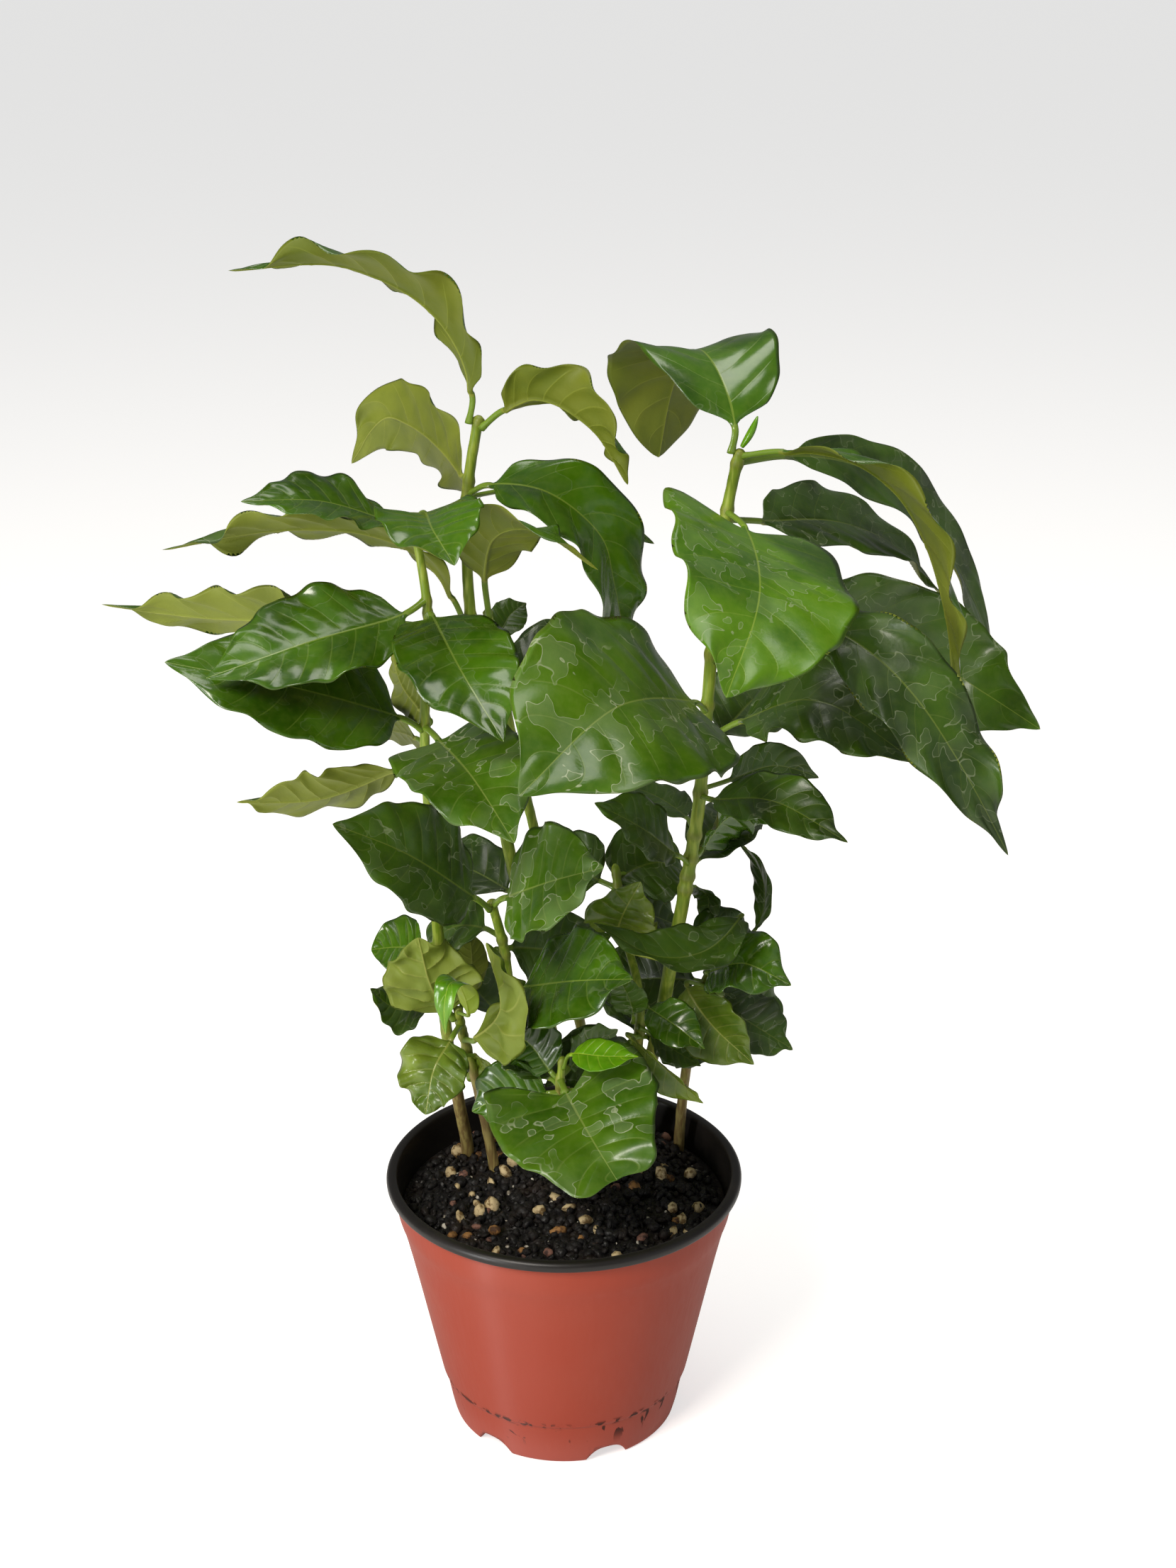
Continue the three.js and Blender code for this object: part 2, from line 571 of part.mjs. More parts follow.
/** A closed pair of young leaves: a slim spindle that stands off the stem's end by the gap. */
function makeBud() {
  const plan = stemPlans.tallRight;
  const curve = stemCurve(plan);
  const base = curve.getPoint(1).addScaledVector(curve.getTangent(1), gap);
  const lean = new THREE.Vector3(0.42, -0.1, 0.9).normalize();
  const outline = [[0, 0.5], [0.2, 0.75], [0.45, 1], [0.75, 0.6]];
  const rings = outline.map(([share, width]) => {
    const centre = base.clone().addScaledVector(lean, budLength * share + budRadius * 0.3);
    return ringAbout(centre, lean, budRadius * width, stemSides);
  });
  return loft(rings, base.clone().addScaledVector(lean, budLength));
}

// ---- materials ----

const terracottaPlastic = { color: '#b5513e', roughness: 0.5, metalness: 0 };
const darkSoil = { color: '#1d1714', roughness: 0.95, metalness: 0 };
const stemGreen = { color: '#7f8a34', roughness: 0.5, metalness: 0 };
const leafGreen = { color: '#2f6414', roughness: 0.3, metalness: 0 };
const youngGreen = { color: '#6f9a2c', roughness: 0.4, metalness: 0 };
const crinkledGreen = { color: '#6e8c3a', roughness: 0.45, metalness: 0 };

/** The finish of a leaf: the crinkled front seedling and the young tips are lighter. */
function leafFinish(leaf) {
  if (leaf.stem === 'frontLeft') {
    return crinkledGreen;
  }
  return leaf.shape === SMALL ? youngGreen : leafGreen;
}

// ---- the whole plant ----

const plant = new THREE.Group();

/** Adds a named piece with its own material. */
function add(name, geometry, finish) {
  const mesh = new THREE.Mesh(geometry, new THREE.MeshStandardMaterial(finish));
  mesh.name = name;
  plant.add(mesh);
}

add('pot', makePot(), terracottaPlastic);
add('soil', makeSoil(), darkSoil);
for (const plan of Object.values(stemPlans)) {
  add(plan.name, makeStem(plan), stemGreen);
}
for (const leaf of leafPlan) {
  add(`leaf_${leaf.name}`, makeLeaf(leaf), leafFinish(leaf));
}
add('bud_tall_right', makeBud(), youngGreen);

export default plant;
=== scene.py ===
"""Potted coffee plant: glossy-leaved seedlings in dark soil, in a two-colour nursery pot.

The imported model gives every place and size. Each leaf is skinned anew over the cage of its
CAD node, each stem over its CAD tube, and the pot and the soil are turned from their boxes.
Lengths are in metres, angles in degrees, unless a name ends in _mm.
"""

import json
import logging
import math
from dataclasses import dataclass
from enum import Enum
from functools import cache

import bmesh
import bpy
import numpy as np
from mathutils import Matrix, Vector


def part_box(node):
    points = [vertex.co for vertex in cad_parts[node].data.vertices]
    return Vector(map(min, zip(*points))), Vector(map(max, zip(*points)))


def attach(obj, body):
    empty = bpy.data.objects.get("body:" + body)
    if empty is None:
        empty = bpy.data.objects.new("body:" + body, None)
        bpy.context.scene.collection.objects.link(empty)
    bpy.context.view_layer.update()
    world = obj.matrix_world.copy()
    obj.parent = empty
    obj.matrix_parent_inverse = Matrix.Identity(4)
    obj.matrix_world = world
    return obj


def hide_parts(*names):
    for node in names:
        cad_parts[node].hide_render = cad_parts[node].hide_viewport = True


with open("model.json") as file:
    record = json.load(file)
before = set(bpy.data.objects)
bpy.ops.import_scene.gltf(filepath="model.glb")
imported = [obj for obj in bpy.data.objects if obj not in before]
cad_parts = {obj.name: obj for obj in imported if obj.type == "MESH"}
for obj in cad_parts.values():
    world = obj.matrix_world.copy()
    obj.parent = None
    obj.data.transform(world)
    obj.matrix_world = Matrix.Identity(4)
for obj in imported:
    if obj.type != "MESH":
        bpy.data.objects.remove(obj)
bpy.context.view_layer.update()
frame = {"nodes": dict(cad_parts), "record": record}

LOG = logging.getLogger("coffee_plant")
MM = 0.001
TAU = 2.0 * math.pi

Socket = bpy.types.NodeSocket
Layers = dict[str, np.ndarray]


# ---------------------------------------------------------------- colour and nodes


def linear(hex_code: str) -> tuple[float, float, float, float]:
    """Turn an sRGB hex colour into a linear RGBA colour.

    Args:
        hex_code: Six hex digits with or without a leading #.

    Returns:
        Linear red, green, blue and an alpha of 1.
    """
    digits = hex_code.lstrip("#")
    srgb = [int(digits[i : i + 2], 16) / 255.0 for i in (0, 2, 4)]
    red, green, blue = (
        c / 12.92 if c <= 0.04045 else ((c + 0.055) / 1.055) ** 2.4 for c in srgb
    )
    return (red, green, blue, 1.0)


def node(tree: bpy.types.NodeTree, kind: str, links: dict, **settings) -> bpy.types.Node:
    """Add one shader node with its settings and links.

    Args:
        tree: The node tree that gets the node.
        kind: The node's type without the leading "ShaderNode".
        links: Input name or index to a value, or to the output socket that feeds it.
        settings: The node's own properties, such as operation or data_type.

    Returns:
        The new node.
    """
    made = tree.nodes.new("ShaderNode" + kind)
    for name, value in settings.items():
        setattr(made, name, value)
    for key, value in links.items():
        if isinstance(value, Socket):
            tree.links.new(value, made.inputs[key])
        else:
            made.inputs[key].default_value = value
    return made


class Recipe:
    """A material while its nodes are put together.

    Each method adds a node and gives back its output socket. A colour is a socket or a hex
    code; a number is a socket or a float.
    """

    def __init__(self, name: str) -> None:
        """Start an empty material with object coordinates.

        Args:
            name: What the material is.
        """
        self.material = bpy.data.materials.new(name)
        self.material.use_nodes = True
        self.tree = self.material.node_tree
        self.tree.nodes.clear()
        self.place = node(self.tree, "TexCoord", {}).outputs["Object"]

    def noise(self, scale: float, **inputs: Socket | float) -> Socket:
        """Add noise; inputs are named as the node's own, and Vector is the place if unset."""
        links = {"Vector": self.place, "Scale": scale, **inputs}
        return node(self.tree, "TexNoise", links).outputs[0]

    def drawn_out(self, height: float) -> Socket:
        """Scale the place along Z, which draws a pattern out upwards where height is small."""
        links = {"Vector": self.place, "Scale": (1.0, 1.0, height)}
        return node(self.tree, "Mapping", links).outputs[0]

    def layer(self, name: str) -> Socket:
        """Read a piece's own attribute."""
        return node(self.tree, "Attribute", {}, attribute_name=name).outputs["Fac"]

    def reckon(self, operation: str, *values: Socket | float) -> Socket:
        """Work out a number with a Math node of that operation."""
        return node(self.tree, "Math", dict(enumerate(values)), operation=operation).outputs[0]

    def ramp(self, value: Socket, low: float, high: float) -> Socket:
        """Ease a number from 0 at low to 1 at high; low may be the larger."""
        links = {0: value, 1: low, 2: high, 3: 0.0, 4: 1.0}
        return node(self.tree, "MapRange", links, interpolation_type="SMOOTHSTEP").outputs[0]

    def apart(self, value: Socket, level: float) -> Socket:
        """Take how far a number is from a level."""
        return self.reckon("ABSOLUTE", self.reckon("SUBTRACT", value, level))

    def mix(self, share: Socket | float, first: Socket | str, second: Socket | str) -> Socket:
        """Mix two colours: share 0 gives the first and 1 the second.

        Args:
            share: Share of the second colour.
            first: The colour at share 0.
            second: The colour at share 1.

        Returns:
            The mixed colour.
        """
        first, second = (linear(c) if isinstance(c, str) else c for c in (first, second))
        links = {0: share, 6: first, 7: second}
        return node(self.tree, "Mix", links, data_type="RGBA", blend_type="MIX").outputs[2]

    def tint(self, colour: Socket, share: Socket, amount: float, other: str) -> Socket:
        """Tint a colour by amount where share is 1."""
        return self.mix(self.reckon("MULTIPLY", share, amount), colour, other)

    def dress(
        self,
        colour: Socket,
        roughness: Socket | float,
        height: Socket,
        strength: float,
        depth_mm: float,
        **inputs: Socket | float,
    ) -> bpy.types.Material:
        """Finish the material as a bumpy solid surface.

        Args:
            colour: Base colour.
            roughness: Roughness.
            height: Bump height, 0 to 1.
            strength: Bump strength.
            depth_mm: Bump depth in millimetres.
            inputs: The shader's other inputs, with _ for a space in their names.

        Returns:
            The material.
        """
        bumps = {"Height": height, "Strength": strength, "Distance": depth_mm * MM}
        bump = node(self.tree, "Bump", bumps).outputs[0]
        links = {"Base Color": colour, "Roughness": roughness, "Normal": bump}
        links |= {key.replace("_", " "): value for key, value in inputs.items()}
        self.cover(links)
        return self.material

    def cover(self, links: dict) -> None:
        """Wire a solid surface with these inputs to the material's output."""
        shader = node(self.tree, "BsdfPrincipled", links)
        node(self.tree, "OutputMaterial", {"Surface": shader.outputs[0]})


# ---------------------------------------------------------------- arrays and meshes


def smooth_step(value: np.ndarray, low: float, high: float) -> np.ndarray:
    """Ease from 0 at low to 1 at high along 3t^2 - 2t^3."""
    t = np.clip((value - low) / (high - low), 0.0, 1.0)
    return t * t * (3.0 - 2.0 * t)


def bridge(
    t: np.ndarray, start: np.ndarray, leave: np.ndarray, end: np.ndarray, arrive: np.ndarray
) -> np.ndarray:
    """Follow a cubic from start at t = 0 to end at t = 1, with these slopes there.

    Args:
        t: Share of the way.
        start: First point.
        leave: Slope at the first point.
        end: Last point.
        arrive: Slope at the last point.

    Returns:
        The points at t.
    """
    return (
        (2 * t**3 - 3 * t**2 + 1) * start
        + (t**3 - 2 * t**2 + t) * leave
        + (3 * t**2 - 2 * t**3) * end
        + (t**3 - t**2) * arrive
    )


def curve_through(places: np.ndarray, points: np.ndarray, at: np.ndarray) -> np.ndarray:
    """Follow a smooth curve through points.

    Between two points it is the cubic that leaves and arrives with their slopes; a slope is
    the mean of the two neighbouring chords, each weighted by the other chord's length.

    Args:
        places: Increasing parameter of each point, shape (k,).
        points: The points, shape (k, ...).
        at: Parameters to read, shape (n,).

    Returns:
        The curve's values, shape (n, ...).
    """
    steps = np.diff(places)
    extra = (1,) * (points.ndim - 1)
    chords = np.diff(points, axis=0) / steps.reshape(-1, *extra)
    before, after = steps[:-1].reshape(-1, *extra), steps[1:].reshape(-1, *extra)
    inner = (chords[:-1] * after + chords[1:] * before) / (before + after)
    first = 1.5 * chords[:1] - 0.5 * inner[:1]
    last = 1.5 * chords[-1:] - 0.5 * inner[-1:]
    slopes = np.concatenate([first, inner, last])
    spot = np.clip(np.searchsorted(places, at, side="right") - 1, 0, len(steps) - 1)
    width = steps[spot].reshape(-1, *extra)
    t = ((at - places[spot]) / steps[spot]).reshape(-1, *extra)
    leave, arrive = slopes[spot] * width, slopes[spot + 1] * width
    return bridge(t, points[spot], leave, points[spot + 1], arrive)


def run_along(points: np.ndarray) -> np.ndarray:
    """Distance of each point from the first one, along the line."""
    steps = np.linalg.norm(np.diff(points, axis=0), axis=1)
    return np.concatenate([[0.0], np.cumsum(steps)])


def unit(vectors: np.ndarray) -> np.ndarray:
    """Scale vectors along the last axis to length 1."""
    length = np.linalg.norm(vectors, axis=-1, keepdims=True)
    return vectors / np.maximum(length, 1e-12)


def square_to(vectors: np.ndarray, along: np.ndarray) -> np.ndarray:
    """Turn vectors square to unit vectors and scale them to length 1."""
    return unit(vectors - np.sum(vectors * along, axis=-1, keepdims=True) * along)


def turns(count: int) -> np.ndarray:
    """Angles of evenly spaced points round a circle, in radians."""
    return np.arange(count) / count * TAU


def turned(radius: np.ndarray, height: np.ndarray, around: int) -> np.ndarray:
    """Turn an outline about the upright axis.

    Args:
        radius: The outline's distances from the axis, shape (rows,).
        height: Its heights, shape (rows,).
        around: Points in a ring.

    Returns:
        Rings, shape (rows, around, 3).
    """
    angle = turns(around)
    radius, height = radius[:, None], height[:, None] + 0 * angle
    return np.stack([radius * np.cos(angle), radius * np.sin(angle), height], axis=2)


def tube(
    line: np.ndarray, first: np.ndarray, second: np.ndarray, wide: np.ndarray, high: np.ndarray
) -> np.ndarray:
    """Lay rings square to a line.

    Args:
        line: Middles, shape (rows, 3).
        first: Unit vectors across, shape (rows, 3).
        second: Unit vectors square to first, shape (rows, 3).
        wide: How far each point is along first, shape (rows, around).
        high: How far each point is along second, shape (rows, around).

    Returns:
        Rings, shape (rows, around, 3).
    """
    return line[:, None] + first[:, None] * wide[..., None] + second[:, None] * high[..., None]


def upright_tube(line: np.ndarray, wide: np.ndarray, high: np.ndarray) -> np.ndarray:
    """Lay rings round a line that runs upwards; wide and high are half axes by row and turn.

    Args:
        line: Middles, shape (rows, 3).
        wide: First half axis, shape (rows, around).
        high: Second half axis, shape (rows, around).

    Returns:
        Rings, shape (rows, around, 3).
    """
    along = unit(np.gradient(line, axis=0))
    first = unit(np.cross(along, [0.0, 1.0, 0.0]))
    angle = turns(wide.shape[1])
    return tube(line, first, np.cross(along, first), wide * np.cos(angle), high * np.sin(angle))


LATTICE_VALUES = 4096
LATTICE_KEYS = np.array([73856093, 19349663, 83492791])


def lattice_noise(points: np.ndarray, size: float, seed: int) -> np.ndarray:
    """Smooth random values between -1 and 1 that change over a given size.

    A random number sits on each corner of a cubic lattice, and a point takes the eased
    average of the eight corners round it.

    Args:
        points: Places, shape (..., 3).
        size: Lattice step, in the points' units.
        seed: Which lattice.

    Returns:
        One value a point, shape (...).
    """
    table = np.random.default_rng(seed).uniform(-1.0, 1.0, LATTICE_VALUES)
    scaled = points / size
    corner = np.floor(scaled).astype(np.int64)
    ease = scaled - corner
    ease = ease * ease * (3.0 - 2.0 * ease)
    total = np.zeros(points.shape[:-1])
    for dx, dy, dz in np.ndindex(2, 2, 2):
        cell = (corner + np.array([dx, dy, dz])) * LATTICE_KEYS
        key = cell[..., 0] ^ cell[..., 1] ^ cell[..., 2]
        share = (
            np.abs(1 - dx - ease[..., 0])
            * np.abs(1 - dy - ease[..., 1])
            * np.abs(1 - dz - ease[..., 2])
        )
        total += table[key % LATTICE_VALUES] * share
    return total


def ring_faces(rows: int, around: int) -> np.ndarray:
    """Quads that skin a stack of closed rings, facing out where the rings run anticlockwise.

    Args:
        rows: How many rings.
        around: Points in each ring.

    Returns:
        Corner numbers, shape (quads, 4).
    """
    j = np.arange(around)
    row = np.stack([j, (j + 1) % around, (j + 1) % around + around, j + around], axis=1)
    return (row[None] + np.arange(rows - 1)[:, None, None] * around).reshape(-1, 4)


def end_fans(rows: int, around: int) -> np.ndarray:
    """Triangles that close a stack of rings onto two points that follow the rings' own.

    Args:
        rows: How many rings.
        around: Points in each ring.

    Returns:
        Corner numbers, shape (2 around, 3), the first ring's fan first.
    """
    j = np.arange(around)
    k = (j + 1) % around
    first, last = rows * around, (rows - 1) * around
    near = np.stack([k, j, np.full(around, first)], axis=1)
    far = np.stack([last + j, last + k, np.full(around, first + 1)], axis=1)
    return np.concatenate([near, far])


def mesh_object(
    name: str,
    points: np.ndarray,
    quads: np.ndarray,
    triangles: np.ndarray | None = None,
    layers: Layers | None = None,
) -> bpy.types.Object:
    """Make a smooth-shaded mesh object from arrays.

    Args:
        name: The piece's name.
        points: Corners in metres, shape (n, 3).
        quads: Four-corner faces, shape (q, 4).
        triangles: Three-corner faces, shape (t, 3), or None.
        layers: Attribute name to one number a corner point.

    Returns:
        The linked object, at the origin.
    """
    triangles = np.zeros((0, 3), int) if triangles is None else triangles
    mesh = bpy.data.meshes.new(name)
    loops = np.concatenate([quads.reshape(-1), triangles.reshape(-1)]).astype(np.int32)
    counts = np.concatenate([np.full(len(quads), 4), np.full(len(triangles), 3)])
    starts = np.concatenate([[0], np.cumsum(counts)[:-1]]).astype(np.int32)
    mesh.vertices.add(len(points))
    mesh.vertices.foreach_set("co", points.astype(np.float32).reshape(-1))
    mesh.loops.add(len(loops))
    mesh.loops.foreach_set("vertex_index", loops)
    mesh.polygons.add(len(counts))
    mesh.polygons.foreach_set("loop_start", starts)
    mesh.polygons.foreach_set("use_smooth", np.full(len(counts), True))
    mesh.update(calc_edges=True)
    mesh.validate()
    for layer, values in (layers or {}).items():
        attribute = mesh.attributes.new(layer, "FLOAT", "POINT")
        attribute.data.foreach_set("value", values.astype(np.float32).reshape(-1))
    made = bpy.data.objects.new(name, mesh)
    bpy.context.scene.collection.objects.link(made)
    return made


def capped_loft(name: str, rings: np.ndarray, layers: Layers | None = None) -> bpy.types.Object:
    """Skin a stack of rings and close both ends onto their middles.

    Args:
        name: The piece's name.
        rings: Points, shape (rows, around, 3), anticlockwise seen from the far end.
        layers: Attribute name to values of shape (rows, around).

    Returns:
        The closed piece.
    """
    rows, around = rings.shape[:2]
    ends = np.stack([rings[0].mean(axis=0), rings[-1].mean(axis=0)])
    points = np.concatenate([rings.reshape(-1, 3), ends])
    spread = {
        key: np.concatenate([v.reshape(-1), [v[0].mean()], [v[-1].mean()]])
        for key, v in (layers or {}).items()
    }
    return mesh_object(name, points, ring_faces(rows, around), end_fans(rows, around), spread)


def give_materials(
    piece: bpy.types.Object, *materials: bpy.types.Material, second: np.ndarray | None = None
) -> None:
    """Give a piece its materials.

    Args:
        piece: The piece.
        materials: One material, or two.
        second: Whether each face takes the second; faces past its end don't.
    """
    for material in materials:
        piece.data.materials.append(material)
    if second is not None:
        index = np.zeros(len(piece.data.polygons), np.int32)
        index[: len(second)] = second
        piece.data.polygons.foreach_set("material_index", index)


def node_points(name: str) -> tuple[np.ndarray, np.ndarray]:
    """Read a CAD node's mesh with its doubled corners merged.

    Args:
        name: The node.

    Returns:
        Corners, shape (n, 3), and triangles, shape (t, 3).
    """
    mesh = frame["nodes"][name].data
    loose = np.zeros(len(mesh.vertices) * 3, np.float32)
    mesh.vertices.foreach_get("co", loose)
    corners = np.zeros(len(mesh.loops), np.int32)
    mesh.loops.foreach_get("vertex_index", corners)
    loose = loose.reshape(-1, 3).astype(float)
    keys = np.round(loose / (0.001 * MM)).astype(np.int64)
    _, first, where = np.unique(keys, axis=0, return_index=True, return_inverse=True)
    return loose[first], where.reshape(-1)[corners].reshape(-1, 3)


class Skin:
    """The rings of a lofted CAD node, found again from how its triangles meet."""

    def __init__(self, name: str, around: int, is_blade: bool) -> None:
        """Read the node and index its edges.

        Args:
            name: The CAD node.
            around: Points in each of its rings.
            is_blade: Whether its lower half splits along the upper half's diagonals.
        """
        self.points, faces = node_points(name)
        self.around = around
        self.is_blade = is_blade
        count = len(self.points)
        self.across = np.full((count, count), -1)
        for k in range(3):
            self.across[faces[:, k], faces[:, (k + 1) % 3]] = faces[:, (k + 2) % 3]
        self.edges = (self.across >= 0).sum(axis=1)

    def first_ring(self) -> list[int]:
        """Find the closed start's ring: its corner 0 holds the start's fan.

        Returns:
            The ring's corner numbers.
        """
        most = self.around + (2 if self.is_blade else 1)
        crowns = np.flatnonzero(self.edges == most)
        start = crowns[np.argmin(self.points[crowns, 2])]
        nexts = self.across[start]
        before = np.full(len(nexts), -1)
        spokes = np.flatnonzero(nexts >= 0)
        before[nexts[spokes]] = spokes
        corner = next(b for b in spokes if self.edges[b] == 4 and self.edges[before[b]] == 6)
        fan = [int(corner)]
        while len(fan) < self.around - 1:
            fan.append(int(nexts[fan[-1]]))
        return [int(start), *reversed(fan)]

    def ahead(self, ring: list[int]) -> list[int]:
        """Step from a ring to the next over the triangles on each of its sides.

        Args:
            ring: A ring's corner numbers.

        Returns:
            The next ring's corner numbers.
        """
        sides = [int(self.across[ring[j - 1], ring[j]]) for j in range(self.around)]
        if not self.is_blade:
            return sides
        half = self.around // 2
        lower = [int(self.across[ring[j], ring[(j + 1) % self.around]]) for j in range(self.around)]
        first = int(self.across[ring[0], sides[1]])
        if first < 0 or len(set(sides[1 : half + 1])) == 1:
            first = sides[1]
        return [first, *sides[1 : half + 1], *lower[half + 1 :]]

    def rings(self) -> np.ndarray:
        """Follow the triangles from ring to ring.

        Returns:
            All rings' points, shape (rings, around, 3), with an apex repeated as the last.
        """
        found = [self.first_ring()]
        while len(set(found[-1])) > 1:
            ahead = self.ahead(found[-1])
            if min(ahead) < 0 or set(ahead) & set(found[-1]):
                break
            found.append(ahead)
        return self.points[np.array(found)]


# ---------------------------------------------------------------- leaves


class LeafKind(Enum):
    """How a leaf looks, from its age and how it was watered; DARK also holds painted shade."""

    GLOSSY = "glossy"
    DARK = "dark"
    SPOTTED = "spotted"
    BRIGHT = "bright"
    YOUNG = "young"
    CRINKLED = "crinkled"


@dataclass(frozen=True)
class LeafFinish:
    """The live cuticle of one kind of coffee leaf: waxy above, duller and paler below.

    The upper face has a thin clear wax that mirrors the light; the veins are sunk, paler
    lines. Where hard water has dried it leaves grey patches with a crisp chalky rim.
    """

    upper: str
    upper_dark: str
    vein: str
    under: str
    under_vein: str
    roughness: float
    chalk: float
    wax: float = 0.35
    stalk: str = "#73902a"
    bump: float = 0.25
    fleck_mm: float = 9.0
    chalk_patch: str = "#aab894"
    chalk_rim: str = "#c4ccaa"

    def upper_face(self, name: str) -> bpy.types.Material:
        """Dress the upper face.

        Args:
            name: The material's name.

        Returns:
            The material.
        """
        recipe = Recipe(name)
        vein, rib, edge, petiole = self.lines(recipe)
        shade = recipe.ramp(recipe.noise(45.0, Detail=2.0), 0.38, 0.66)
        colour = recipe.mix(shade, self.upper, self.upper_dark)
        fine = recipe.noise(420.0, Detail=3.0)
        colour = recipe.tint(colour, recipe.ramp(fine, 0.35, 0.7), 0.1, self.vein)
        for line, amount in ((vein, 0.24), (rib, 0.7), (edge, 0.35)):
            colour = recipe.tint(colour, line, amount, self.vein)
        patch, rim = self.water_marks(recipe)
        colour = recipe.tint(colour, patch, 0.1, self.chalk_patch)
        colour = recipe.tint(colour, rim, 0.42, self.chalk_rim)
        colour = recipe.mix(petiole, colour, self.stalk)
        roughness = recipe.reckon("MULTIPLY_ADD", patch, 0.12, self.roughness)
        roughness = recipe.reckon("MULTIPLY_ADD", vein, 0.08, roughness)
        cells = node(recipe.tree, "TexVoronoi", {"Vector": recipe.place, "Scale": 900.0})
        height = recipe.reckon("MULTIPLY_ADD", cells.outputs[0], 0.25, fine)
        height = recipe.reckon("MULTIPLY_ADD", vein, -0.9, height)
        height = recipe.reckon("MULTIPLY_ADD", rim, 0.4, height)
        wax = {"Coat_Weight": self.wax, "Coat_Roughness": 0.16}
        return recipe.dress(colour, roughness, height, self.bump, 0.25, IOR=1.45, **wax)

    def under_face(self, name: str) -> bpy.types.Material:
        """Dress the underside: dull, paler, with standing veins.

        Args:
            name: The material's name.

        Returns:
            The material.
        """
        recipe = Recipe(name)
        vein, rib, edge, petiole = self.lines(recipe)
        shade = recipe.ramp(recipe.noise(60.0, Detail=3.0), 0.35, 0.7)
        darker = recipe.mix(0.3, self.under, self.upper_dark)
        colour = recipe.mix(shade, self.under, darker)
        colour = recipe.tint(colour, vein, 0.4, self.under_vein)
        colour = recipe.tint(colour, rib, 0.8, self.under_vein)
        colour = recipe.tint(colour, edge, 0.3, self.vein)
        colour = recipe.mix(petiole, colour, self.stalk)
        height = recipe.reckon("MULTIPLY_ADD", vein, 0.8, recipe.noise(700.0, Detail=2.0))
        return recipe.dress(colour, 0.52, height, 0.3, 0.25, IOR=1.42)

    def lines(self, recipe: Recipe) -> tuple[Socket, Socket, Socket, Socket]:
        """Draw the side veins, the midrib and the margin from the leaf's own attributes.

        A side vein is where vein_phase is a whole number, and fades out 0.4 mm from there.

        Args:
            recipe: The material.

        Returns:
            The side veins, the midrib, the margin and the stalk, each 0 to 1.
        """
        margin = recipe.layer("margin")
        whole = recipe.reckon("FRACT", recipe.reckon("ADD", recipe.layer("vein_phase"), 0.5))
        off = recipe.reckon("MULTIPLY", recipe.apart(whole, 0.5), recipe.layer("vein_gap_mm"))
        vein = recipe.ramp(off, 0.4, 0.06)
        vein = recipe.reckon("MULTIPLY", vein, recipe.ramp(margin, 0.97, 0.7))
        across = recipe.reckon("ABSOLUTE", recipe.layer("across_mm"))
        share = recipe.reckon("DIVIDE", across, recipe.layer("rib_mm"))
        rib = recipe.ramp(share, 1.15, 0.6)
        return vein, rib, recipe.ramp(margin, 0.972, 1.0), recipe.ramp(margin, -0.2, -0.9)

    def water_marks(self, recipe: Recipe) -> tuple[Socket, Socket]:
        """Draw dried hard water: drops and runs, each a grey patch with a chalky rim.

        Args:
            recipe: The material.

        Returns:
            The patch and its rim, 0 to 1, scaled by how chalky the leaf is.
        """
        level = recipe.noise(1.0 / (self.fleck_mm * MM), Detail=1.5, Distortion=0.3)
        patch = recipe.ramp(level, 0.53, 0.55)
        rim = recipe.ramp(recipe.apart(level, 0.54), 0.011, 0.003)
        where = recipe.ramp(recipe.noise(38.0), 0.34, 0.52)
        where = recipe.reckon("MULTIPLY", where, self.chalk)
        return recipe.reckon("MULTIPLY", patch, where), recipe.reckon("MULTIPLY", rim, where)


LEAF_FINISHES = {
    LeafKind.GLOSSY: LeafFinish(
        "#426c05", "#2c5003", "#80983a", "#6f781c", "#8b9434", 0.24, 0.2, wax=0.45
    ),
    # duller and darker than the glossy kind: partly a matt leaf, partly painted shade for leaves
    # deep in the bush
    LeafKind.DARK: LeafFinish(
        "#3a5a0b", "#263f06", "#66782c", "#7f8a2c", "#969d44", 0.36, 0.5, wax=0.16, fleck_mm=7.0
    ),
    LeafKind.SPOTTED: LeafFinish(
        "#4f760c", "#396007", "#869a48", "#6d7622", "#8a923e", 0.33, 1.2, wax=0.25, fleck_mm=8.0
    ),
    LeafKind.BRIGHT: LeafFinish(
        "#588608", "#406c05", "#90ac3c", "#768220", "#929e3a", 0.34, 0.8, wax=0.15, fleck_mm=7.0
    ),
    LeafKind.YOUNG: LeafFinish(
        "#6ea408", "#4f8605", "#a0bc34", "#86982a", "#a4b04a", 0.26, 0.05, wax=0.4
    ),
    LeafKind.CRINKLED: LeafFinish(
        "#748a26", "#4a6610", "#969e48", "#76842a", "#949a46", 0.36, 0.1, wax=0.3, bump=0.6
    ),
}


@dataclass(frozen=True)
class LeafShape:
    """How one leaf's blade is worked beyond its cage. Lengths in millimetres."""

    kind: LeafKind = LeafKind.GLOSSY
    pairs: int = 8
    quilt_mm: float = 0.55
    wave_mm: float = 1.1
    crinkle_mm: float = 0.0
    tip: float = 0.45
    notch_mm: float = 0.0
    lobe_mm: float = 0.0
    flare: float = 0.0


# Where a cage's stations stand along the blade, and its tracks across it.
STATIONS = np.array([0.0, 0.08, 0.21, 0.36, 0.51, 0.66, 0.8, 0.92])
TRACKS = np.array([-1.0, -0.5, 0.0, 0.5, 1.0])


def plain_width(u: np.ndarray) -> np.ndarray:
    """Half width of a plain blade along it, as a share: sin(pi u^0.8)^0.75."""
    return np.maximum(np.sin(math.pi * np.clip(u, 0.0, 1.0) ** 0.8), 0.0) ** 0.75


